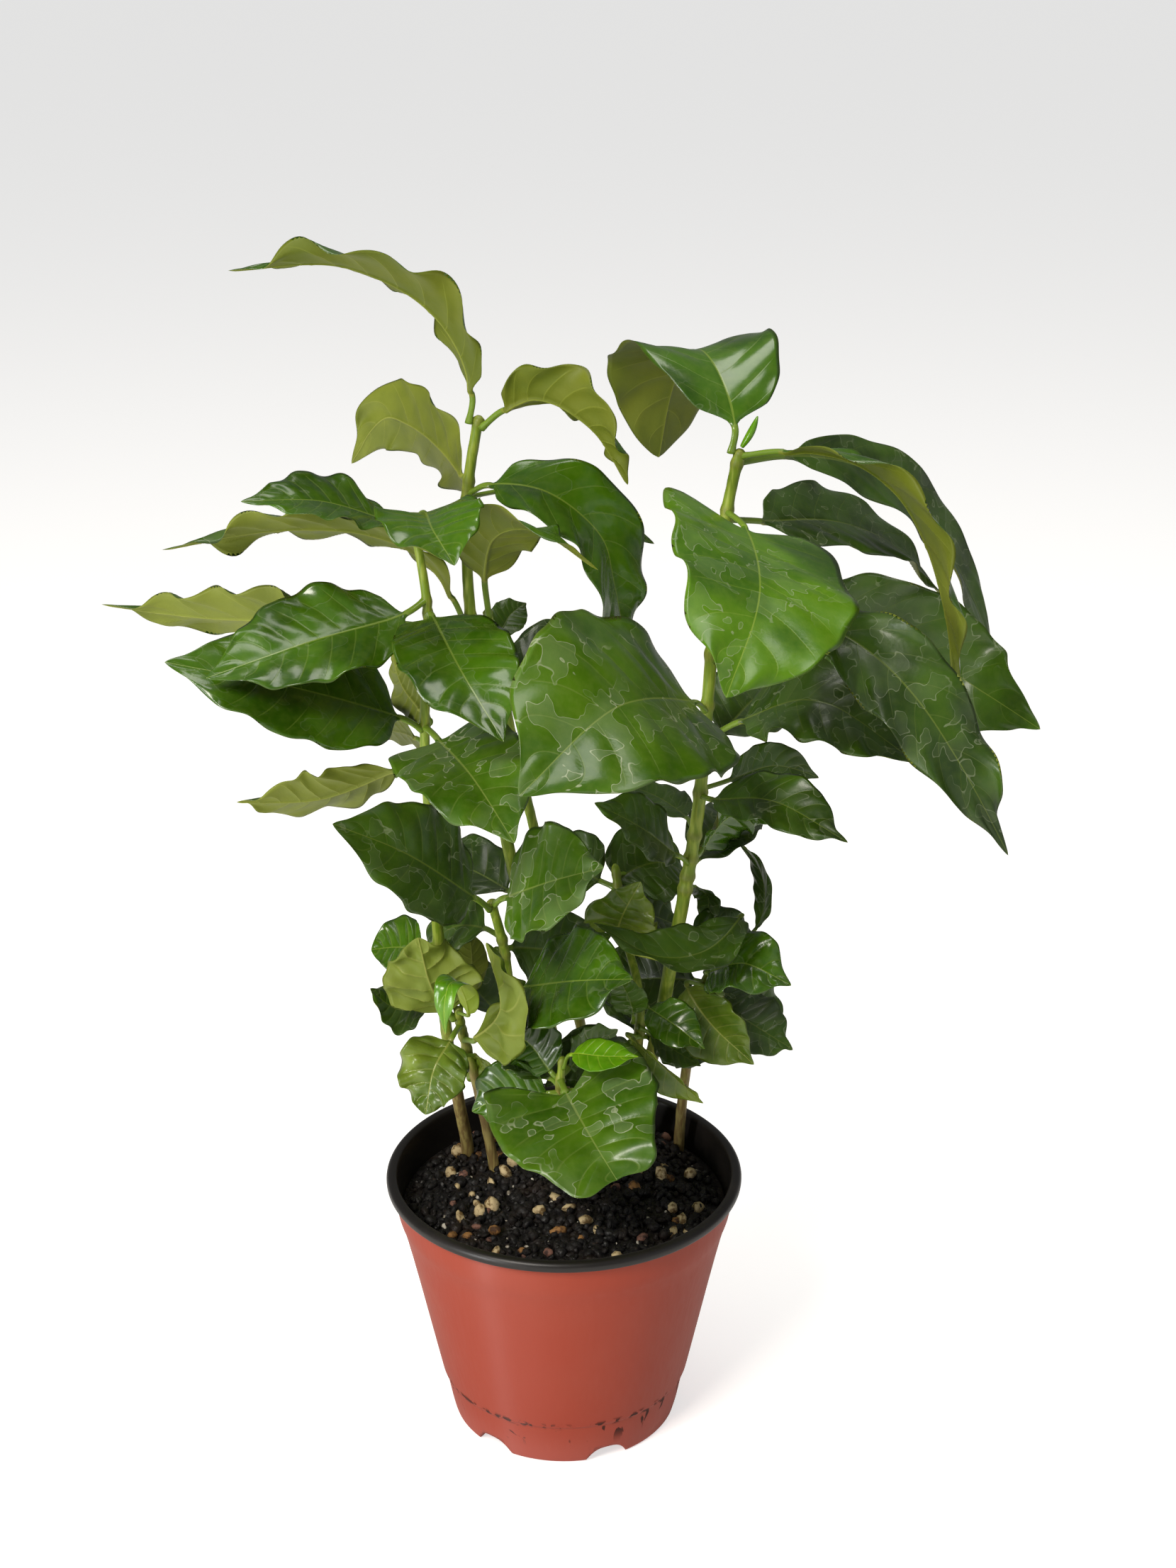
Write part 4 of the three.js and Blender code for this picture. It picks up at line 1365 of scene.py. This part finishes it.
@dataclass
class SoilBed:
    """The soil in the pot: one crumbly bed with granules and crumbs pressed into its top."""

    seed: int = 7
    rings: int = 110
    around: int = 260
    lump_mm: float = 1.3
    crumbs: int = 1700
    crumb_sizes_mm: tuple = (0.5, 2.0)
    ball_rows: int = 5
    ball_around: int = 9
    spread: float = 0.95
    stretch: tuple = (0.62, 1.4)
    dent: float = 0.12
    proud: float = 0.7
    crumb_squash: float = 0.75
    grit_squash: float = 0.8
    neck_mm: float = 3.0
    neck_share: float = 0.985
    grit: tuple = (
        Grit("pumice_grit", "#d8c294", "#7a6038", 38, (1.6, 3.0)),
        Grit("bark_grit", "#a0733f", "#4d331d", 26, (1.3, 2.8)),
        Grit("brick_grit", "#8c6455", "#46302a", 20, (1.2, 2.3)),
        Grit("perlite_grit", "#d8d2c4", "#8a8172", 110, (0.3, 0.7)),
    )

    def __post_init__(self) -> None:
        """Take the bed's sizes from its CAD node."""
        points, _ = node_points("soil")
        radius = np.linalg.norm(points[:, :2], axis=1)
        self.floor = float(points[:, 2].min())
        self.top = float(points[radius > radius.max() - 0.5 * MM, 2].max())
        self.crown = float(points[:, 2].max())
        self.radius = float(radius.max())
        self.foot = float(radius[points[:, 2] < self.floor + 0.5 * MM].max())

    def height(self, places: np.ndarray) -> np.ndarray:
        """Height of the soil at some places: a shallow crown with lumps of three sizes.

        Args:
            places: Places, shape (..., 3); only X and Y count.

        Returns:
            Heights in metres, shape (...).
        """
        radius = np.linalg.norm(places[..., :2], axis=-1) / self.radius
        flat = places * np.array([1.0, 1.0, 0.0]) / MM
        lumps = lattice_noise(flat, 9.0, 1) * self.lump_mm * 0.8
        lumps += np.abs(lattice_noise(flat, 3.6, 2)) * self.lump_mm
        lumps += np.abs(lattice_noise(flat, 1.5, 3)) * self.lump_mm * 0.6
        edge = 1.0 - smooth_step(radius, 0.9, 1.0)
        return self.top + (self.crown - self.top) * (1.0 - radius**2) + lumps * edge * MM

    def bed(self, peat: bpy.types.Material) -> bpy.types.Object:
        """Turn the bed: a lumpy top on a plain plug that fills the pot.

        Args:
            peat: Its material.

        Returns:
            The bed.
        """
        reach = np.linspace(1.0, 0.0, self.rings + 1)[:-1] * self.radius
        top = turned(reach, 0 * reach, self.around)
        top[..., 2] = self.height(top)
        radius = np.array([self.foot, self.radius * self.neck_share])
        height = np.array([self.floor, self.top - self.neck_mm * MM])
        side = turned(radius, height, self.around)
        made = capped_loft("peat_bed", np.concatenate([side, top]))
        give_materials(made, peat)
        return made

    def scatter(
        self, name: str, count: int, sizes: tuple, draw: np.random.Generator, squash: float
    ) -> bpy.types.Object:
        """Press irregular granules into the top.

        Each is a ball whose corners are pushed in and out at random, stretched along its own
        axes and turned at random; its middle lies on the soil or a little above.

        Args:
            name: The piece's name.
            count: How many granules.
            sizes: Least and greatest radius in millimetres.
            draw: The random draw.
            squash: Height as a share of width.

        Returns:
            All the granules as one piece.
        """
        corners, quads, triangles = ball(self.ball_rows, self.ball_around)
        far = np.sqrt(draw.uniform(0.0, 1.0, count)) * self.radius * self.spread
        turn = draw.uniform(0.0, TAU, count)
        radius = draw.uniform(*sizes, count) * MM
        stretch = draw.uniform(*self.stretch, (count, 1, 3)) * np.array([1.0, 1.0, squash])
        dents = draw.uniform(-self.dent, self.dent, (count, len(corners), 1))
        shaken = corners[None] * (1.0 + dents)
        shaken = shaken * stretch * radius[:, None, None]
        # each granule is turned by a random unit quaternion [w, axis]
        spin = unit(draw.normal(size=(count, 4)))[:, None]
        w, axis = spin[..., :1], spin[..., 1:]
        shaken = shaken + 2.0 * np.cross(axis, np.cross(axis, shaken) + w * shaken)
        place = np.stack([far * np.cos(turn), far * np.sin(turn), 0 * far], axis=1)
        place[:, 2] = self.height(place) + radius * squash * draw.uniform(0.0, self.proud, count)
        points = (shaken + place[:, None]).reshape(-1, 3)
        step = (np.arange(count) * len(corners))[:, None, None]
        quads, triangles = (quads + step).reshape(-1, 4), (triangles + step).reshape(-1, 3)
        return mesh_object(name, points, quads, triangles)

    def build(self, peat: bpy.types.Material) -> list[bpy.types.Object]:
        """Make the bed, its crumbs and its granules.

        Args:
            peat: The material of the bed and the crumbs.

        Returns:
            The pieces, the bed first.
        """
        draw = np.random.default_rng(self.seed)
        pieces = [self.bed(peat)]
        sizes, squash = self.crumb_sizes_mm, self.crumb_squash
        crumbs = self.scatter("peat_crumbs", self.crumbs, sizes, draw, squash)
        give_materials(crumbs, peat)
        pieces.append(crumbs)
        for grit in self.grit:
            made = self.scatter(grit.name, grit.count, grit.sizes_mm, draw, self.grit_squash)
            give_materials(made, grit.material())
            pieces.append(made)
        return pieces


# ---------------------------------------------------------------- pot


@dataclass(frozen=True)
class PotPlastic:
    """Thermoformed polypropylene sheet in two colours, terracotta outside and black inside.

    Satin, with fine upright draw marks, a paler bloom low down and earth caught on the step.
    """

    terracotta: str = "#a23d27"
    faded: str = "#a64a36"
    black: str = "#1b1816"
    earth: str = "#2a1a14"
    bloom: str = "#b9675c"
    dust: str = "#3c342f"

    def outside(self, step: float) -> bpy.types.Material:
        """Dress the outside.

        Args:
            step: Height of the step above the foot, where earth has dried, in metres.

        Returns:
            The terracotta material.
        """
        recipe = Recipe("terracotta_polypropylene")
        height = node(recipe.tree, "SeparateXYZ", {"Vector": recipe.place}).outputs["Z"]
        marks = recipe.noise(800.0, Vector=recipe.drawn_out(0.06), Detail=2.0)
        broad = recipe.ramp(recipe.noise(22.0, Detail=2.0), 0.35, 0.7)
        share = recipe.reckon("MULTIPLY", broad, 0.35)
        colour = recipe.mix(share, self.terracotta, self.faded)
        colour = recipe.tint(colour, recipe.ramp(height, step, 0.0), 0.35, self.bloom)
        # a broken line of dried earth along the step, and thin roots below it
        line = recipe.ramp(recipe.apart(height, step + 0.2 * MM), 2.1 * MM, 0.3 * MM)
        spots = recipe.ramp(recipe.noise(260.0, Detail=4.0), 0.51, 0.57)
        stain = recipe.reckon("MULTIPLY", line, spots)
        below = recipe.ramp(height, step + 1.0 * MM, step - 1.5 * MM)
        above = recipe.ramp(height, step - 11.0 * MM, step - 4.0 * MM)
        roots = recipe.noise(170.0, Vector=recipe.drawn_out(0.45), Detail=3.0, Distortion=1.2)
        roots = recipe.ramp(roots, 0.62, 0.65)
        roots = recipe.reckon("MULTIPLY", recipe.reckon("MULTIPLY", below, above), roots)
        stain = recipe.reckon("MAXIMUM", stain, roots)
        colour = recipe.tint(colour, stain, 0.9, self.earth)
        rough = recipe.reckon("MULTIPLY_ADD", marks, 0.12, 0.38)
        rough = recipe.reckon("MULTIPLY_ADD", stain, 0.35, rough)
        lift = recipe.reckon("MULTIPLY_ADD", stain, 3.0, marks)
        # the sheet is drawn upwards, which stretches its sheen into an upright band
        tangent = node(recipe.tree, "Tangent", {}, direction_type="RADIAL", axis="Z").outputs[0]
        sheen = {"Anisotropic": 0.9, "Anisotropic_Rotation": 0.25, "Tangent": tangent}
        return recipe.dress(colour, rough, lift, 0.18, 0.15, IOR=1.49, **sheen)

    def inside(self) -> bpy.types.Material:
        """Dress the inside and the rim.

        Returns:
            The black material.
        """
        recipe = Recipe("black_polypropylene")
        haze = recipe.noise(60.0, Detail=4.0)
        dusty = recipe.reckon("MULTIPLY", recipe.ramp(haze, 0.5, 0.75), 0.35)
        colour = recipe.mix(dusty, self.black, self.dust)
        rough = recipe.reckon("MULTIPLY_ADD", haze, 0.2, 0.28)
        return recipe.dress(colour, rough, haze, 0.1, 1.0)


@dataclass
class Pot:
    """A round nursery pot: thin wall, rolled lip, faint shoulder, stepped foot and drains."""

    lip_mm: float = 2.6
    lip_depth_mm: float = 3.4
    wall_mm: float = 1.2
    collar_mm: float = 15.0
    shoulder_mm: float = 4.0
    shoulder_inset_mm: float = 3.2
    foot_radius_mm: float = 38.8
    band_height_mm: float = 17.0
    band_radius_mm: float = 42.6
    band_inset_mm: float = 0.9
    ring_mm: float = 4.0
    panel_mm: float = 3.0
    drains: int = 6
    drain_mm: float = 15.0
    drain_height_mm: float = 5.5
    drain_phase: float = 0.867
    arch_points: int = 25
    clear_mm: float = 3.0
    beyond_mm: float = 9.0
    around: int = 288

    def __post_init__(self) -> None:
        """Take the overall size from the CAD node."""
        low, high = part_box("pot")
        self.height_mm = (high.z - low.z) / MM
        self.rim_mm = (high.x - low.x) / 2 / MM

    def profile(self) -> tuple[np.ndarray, np.ndarray]:
        """The wall's outline in millimetres, from the underside round the lip to the floor.

        Corners are rounded by cutting them off twice, each time at a quarter and at three
        quarters of every side.

        Returns:
            Outline points [radius, height], and which belong to the black face.
        """
        top, rim, wall = self.height_mm, self.rim_mm, self.wall_mm
        collar, lip = rim - self.lip_mm, top - self.lip_depth_mm
        foot, band, step = self.foot_radius_mm, self.band_radius_mm, self.band_height_mm
        ring, under = foot - self.ring_mm, band - self.band_inset_mm
        neck = [collar - self.shoulder_inset_mm, top - self.collar_mm - self.shoulder_mm]
        brow = [collar - 0.8, top - self.collar_mm + self.shoulder_mm / 2]
        below = [
            [ring, self.panel_mm], [ring + 0.8, 0.0], [foot - 0.9, 0.0], [foot + 0.1, 1.4],
            [under - 0.15, step - 1.6], [under + 0.1, step - 0.7],
            [band - 0.1, step + 0.1], [band + 0.35, step + 1.8], neck, brow, [collar, lip - 0.4],
        ]
        around_lip = [
            [collar + 0.1, lip], [rim - 0.5, lip], [rim, lip + 0.6], [rim, top - 1.1],
            [rim - 1.1, top],
        ]
        inside = [
            [collar - wall + 0.8, top], [collar - wall, top - 1.0],
            [brow[0] - wall, brow[1]], [neck[0] - wall, neck[1]], [band - wall, step],
            [foot - wall + 0.8, self.panel_mm + wall + 1.0],
            [foot - wall - 0.6, self.panel_mm + wall],
        ]
        rough = np.array(below + around_lip + inside)
        black = np.arange(len(rough)) >= len(below)
        for _ in range(2):
            a, b = rough[:-1], rough[1:]
            cut = np.stack([a * 0.75 + b * 0.25, a * 0.25 + b * 0.75], axis=1).reshape(-1, 2)
            cut_black = np.stack([black[:-1], black[1:]], axis=1).reshape(-1)
            rough = np.concatenate([rough[:1], cut, rough[-1:]])
            black = np.concatenate([black[:1], cut_black, black[-1:]])
        return rough, black

    def build(self, finish: PotPlastic) -> bpy.types.Object:
        """Turn the outline about the pot's axis and cut the drains through its lower corner.

        Args:
            finish: The plastic.

        Returns:
            The pot, in metres.
        """
        outline, black = self.profile()
        rings = turned(outline[:, 0], outline[:, 1], self.around)
        made = capped_loft("pot_shell", rings * MM)
        wall = np.repeat(black[:-1] & black[1:], self.around)
        # the fans come last: the underside's is terracotta and the floor's is black
        second = np.concatenate([wall, np.repeat([False, True], self.around)])
        materials = finish.outside(self.band_height_mm * MM), finish.inside()
        give_materials(made, *materials, second=second)
        cutter = self.drain_cutter()
        cut = made.modifiers.new("drains", "BOOLEAN")
        cut.operation = "DIFFERENCE"
        cut.solver = "EXACT"
        cut.object = cutter
        depsgraph = bpy.context.evaluated_depsgraph_get()
        mesh = bpy.data.meshes.new_from_object(made.evaluated_get(depsgraph))
        made.modifiers.clear()
        made.data = mesh
        bpy.data.objects.remove(cutter)
        return made

    def drain_cutter(self) -> bpy.types.Object:
        """Make all drain arches as one cutting piece.

        An arch's height across its width is h (1 - |x|^3), so it stands on the ground with
        steep sides and a flat round top; it runs outwards through the foot ring.

        Returns:
            The cutter.
        """
        x = np.linspace(-1.0, 1.0, self.arch_points)
        roof = self.drain_height_mm * (1.0 - np.abs(x) ** 3)
        section = np.concatenate(
            [
                np.stack([x * self.drain_mm / 2, roof], axis=1),
                np.stack([x[::-1] * self.drain_mm / 2, -self.clear_mm + 0 * x], axis=1),
            ]
        )
        inner = self.foot_radius_mm - self.ring_mm - self.clear_mm
        reach = np.array([inner, self.foot_radius_mm + self.beyond_mm])
        solids = []
        for k in range(self.drains):
            turn = (k + self.drain_phase) / self.drains * TAU
            out = np.array([math.cos(turn), math.sin(turn), 0.0])
            over = np.array([-math.sin(turn), math.cos(turn), 0.0])
            rings = reach[:, None, None] * out + section[None, :, :1] * over
            rings[..., 2] += section[None, :, 1]
            solids.append(rings * MM)
        around = len(section)
        points = np.concatenate(solids).reshape(-1, 3)
        step = (np.arange(self.drains) * 2 * around)[:, None, None]
        quads = (ring_faces(2, around)[None] + step).reshape(-1, 4)
        cutter = mesh_object("drain_cutter", points, quads)
        work = bmesh.new()
        work.from_mesh(cutter.data)
        bmesh.ops.holes_fill(work, edges=[e for e in work.edges if e.is_boundary])
        bmesh.ops.recalc_face_normals(work, faces=work.faces)
        work.to_mesh(cutter.data)
        work.free()
        return cutter


# ---------------------------------------------------------------- studio


@dataclass
class Studio:
    """A plain pale floor, soft light and the camera."""

    camera_at: tuple = (0.0081, -0.694, 0.503)
    camera_tilt: float = 68.6
    focal_mm: float = 54.0
    floor_rings: tuple = (0.001, 0.4, 1.5, 5.0, 14.0)
    floor_around: int = 96
    sensor_mm: float = 36.0
    far: float = 60.0
    aim_at: tuple = (0.0, 0.0, 0.2)
    floor_glow: float = 0.12
    floor_glow_seen: float = 0.5
    room_glow: float = 0.17
    room_glow_seen: float = 0.85

    def floor(self) -> bpy.types.Object:
        """Lay a round floor whose far edge is out of sight.

        Returns:
            The floor.
        """
        reach, around = np.array(self.floor_rings), self.floor_around
        points = turned(reach, 0 * reach, around).reshape(-1, 3)
        quads = ring_faces(len(reach), around)[:, ::-1]
        j = np.arange(around)
        fan = np.stack([np.full(around, len(points)), j, (j + 1) % around], axis=1)
        made = mesh_object("studio_floor", np.vstack([points, np.zeros(3)]), quads, fan)
        recipe = Recipe("matt_white_paper")
        seen = node(recipe.tree, "LightPath", {}).outputs["Is Camera Ray"]
        glow = recipe.reckon("MULTIPLY_ADD", seen, self.floor_glow_seen, self.floor_glow)
        links = {"Base Color": linear("#f4f3f1"), "Roughness": 0.9}
        recipe.cover(links | {"Emission Color": linear("#ffffff"), "Emission Strength": glow})
        give_materials(made, recipe.material)
        return made

    def camera(self) -> None:
        """Set the camera a little above the plant, tilted down at it."""
        lens = bpy.data.cameras.new("view")
        lens.sensor_fit = "VERTICAL"
        lens.sensor_height = self.sensor_mm
        lens.lens = self.focal_mm
        lens.clip_end = self.far
        camera = bpy.data.objects.new("view", lens)
        camera.location = self.camera_at
        camera.rotation_euler = (math.radians(self.camera_tilt), 0.0, 0.0)
        bpy.context.scene.collection.objects.link(camera)
        bpy.context.scene.camera = camera

    def lamp(
        self, name: str, at: tuple, size: float, power: float, tint: str, tall: float = 1.0
    ) -> None:
        """Hang a soft lamp that faces the plant.

        Args:
            name: The lamp's name.
            at: Its place.
            size: Its width in metres.
            power: Its power in watts.
            tint: Its colour.
            tall: Its height as a share of its width.
        """
        light = bpy.data.lights.new(name, "AREA")
        light.shape = "RECTANGLE"
        light.size = size
        light.size_y = size * tall
        light.energy = power
        light.color = linear(tint)[:3]
        made = bpy.data.objects.new(name, light)
        made.location = at
        aim = Vector(self.aim_at) - Vector(at)
        made.rotation_euler = aim.to_track_quat("-Z", "Y").to_euler()
        bpy.context.scene.collection.objects.link(made)

    def lights(self) -> None:
        """Hang the lamps and set a pale surround."""
        self.lamp("key_softbox", (-0.6, -1.0, 1.2), 0.45, 14.5, "#fff8ee")
        self.lamp("top_softbox", (0.15, 0.15, 1.7), 0.8, 9.5, "#fffbf4")
        self.lamp("fill_softbox", (1.3, -0.8, 0.7), 1.2, 1.4, "#f3f6ff")
        self.lamp("low_strip", (-0.7, -0.62, 0.2), 0.09, 3.4, "#ffffff", tall=4.4)
        world = bpy.data.worlds.new("pale_room")
        world.use_nodes = True
        backdrop = world.node_tree.nodes["Background"]
        backdrop.inputs["Color"].default_value = linear("#f6f6f5")
        seen = node(world.node_tree, "LightPath", {}).outputs["Is Camera Ray"]
        links = {0: seen, 1: self.room_glow_seen, 2: self.room_glow}
        strength = node(world.node_tree, "Math", links, operation="MULTIPLY_ADD").outputs[0]
        world.node_tree.links.new(strength, backdrop.inputs["Strength"])
        bpy.context.scene.world = world
        bpy.context.scene.view_settings.view_transform = "Standard"


# ---------------------------------------------------------------- the plant


def place_piece(piece: bpy.types.Object, slot: str, *nodes: str) -> None:
    """Let a finished piece ride with the plant.

    Args:
        piece: The piece.
        slot: The material slot named for the piece; it is only logged.
        nodes: CAD nodes that it stands for.
    """
    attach(piece, "root")
    if nodes:
        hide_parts(*nodes)
    triangles = sum(len(p.vertices) - 2 for p in piece.data.polygons)
    LOG.info("%s: %d triangles, slot %s", piece.name, triangles, slot)


@dataclass
class CoffeePlant:
    """All seedlings: their stems, leaves and bud."""

    soil_top: float

    def slots(self) -> dict[str, str]:
        """Material slot of each CAD node."""
        return {part["node"]: part["material_slot"] for part in frame["record"]["subparts"]}

    def build(self) -> None:
        """Build every leaf, then the stems with a joint at each stalk."""
        slots = self.slots()
        starts = []
        for name in sorted(n for n in frame["nodes"] if n.startswith("leaf_")):
            cage = Cage.from_node(name)
            starts.append(cage.stalk)
            short = name.removeprefix("leaf_")
            leaf = Leaf("blade_" + short, cage, LEAF_SHAPES.get(short, GLOSSY))
            place_piece(leaf.build(), slots[name], name)
        for inner in (InnerLeaf(*row) for row in INNER_LEAVES):
            cage = inner.cage(self.soil_top)
            starts.append(cage.stalk)
            small = Leaf("inner_" + inner.name, cage, inner.shape)
            slot = "crinkled_leaf" if inner.shape.kind is LeafKind.CRINKLED else "coffee_leaf"
            place_piece(small.build(), slot)
        bark = StemBark().material()
        starts = np.array(starts)
        for name in sorted(n for n in frame["nodes"] if n.startswith("stem_")):
            stem = Stem(name, self.soil_top, starts)
            place_piece(stem.build(bark), slots[name], name)
        bud = Bud()
        place_piece(bud.build(), slots[bud.cad_node], bud.cad_node)


def main() -> None:
    """Build the studio, the pot, the soil and the plant."""
    logging.basicConfig(level=logging.INFO, format="%(name)s %(message)s")
    studio = Studio()
    studio.camera()
    studio.lights()
    studio.floor()
    place_piece(Pot().build(PotPlastic()), "pot_plastic", "pot")
    soil = SoilBed()
    pieces = soil.build(PeatMix().material())
    place_piece(pieces[0], "potting_soil", "soil")
    for piece in pieces[1:]:
        place_piece(piece, "potting_soil")
    CoffeePlant(soil.top).build()


if __name__ == "__main__":
    main()
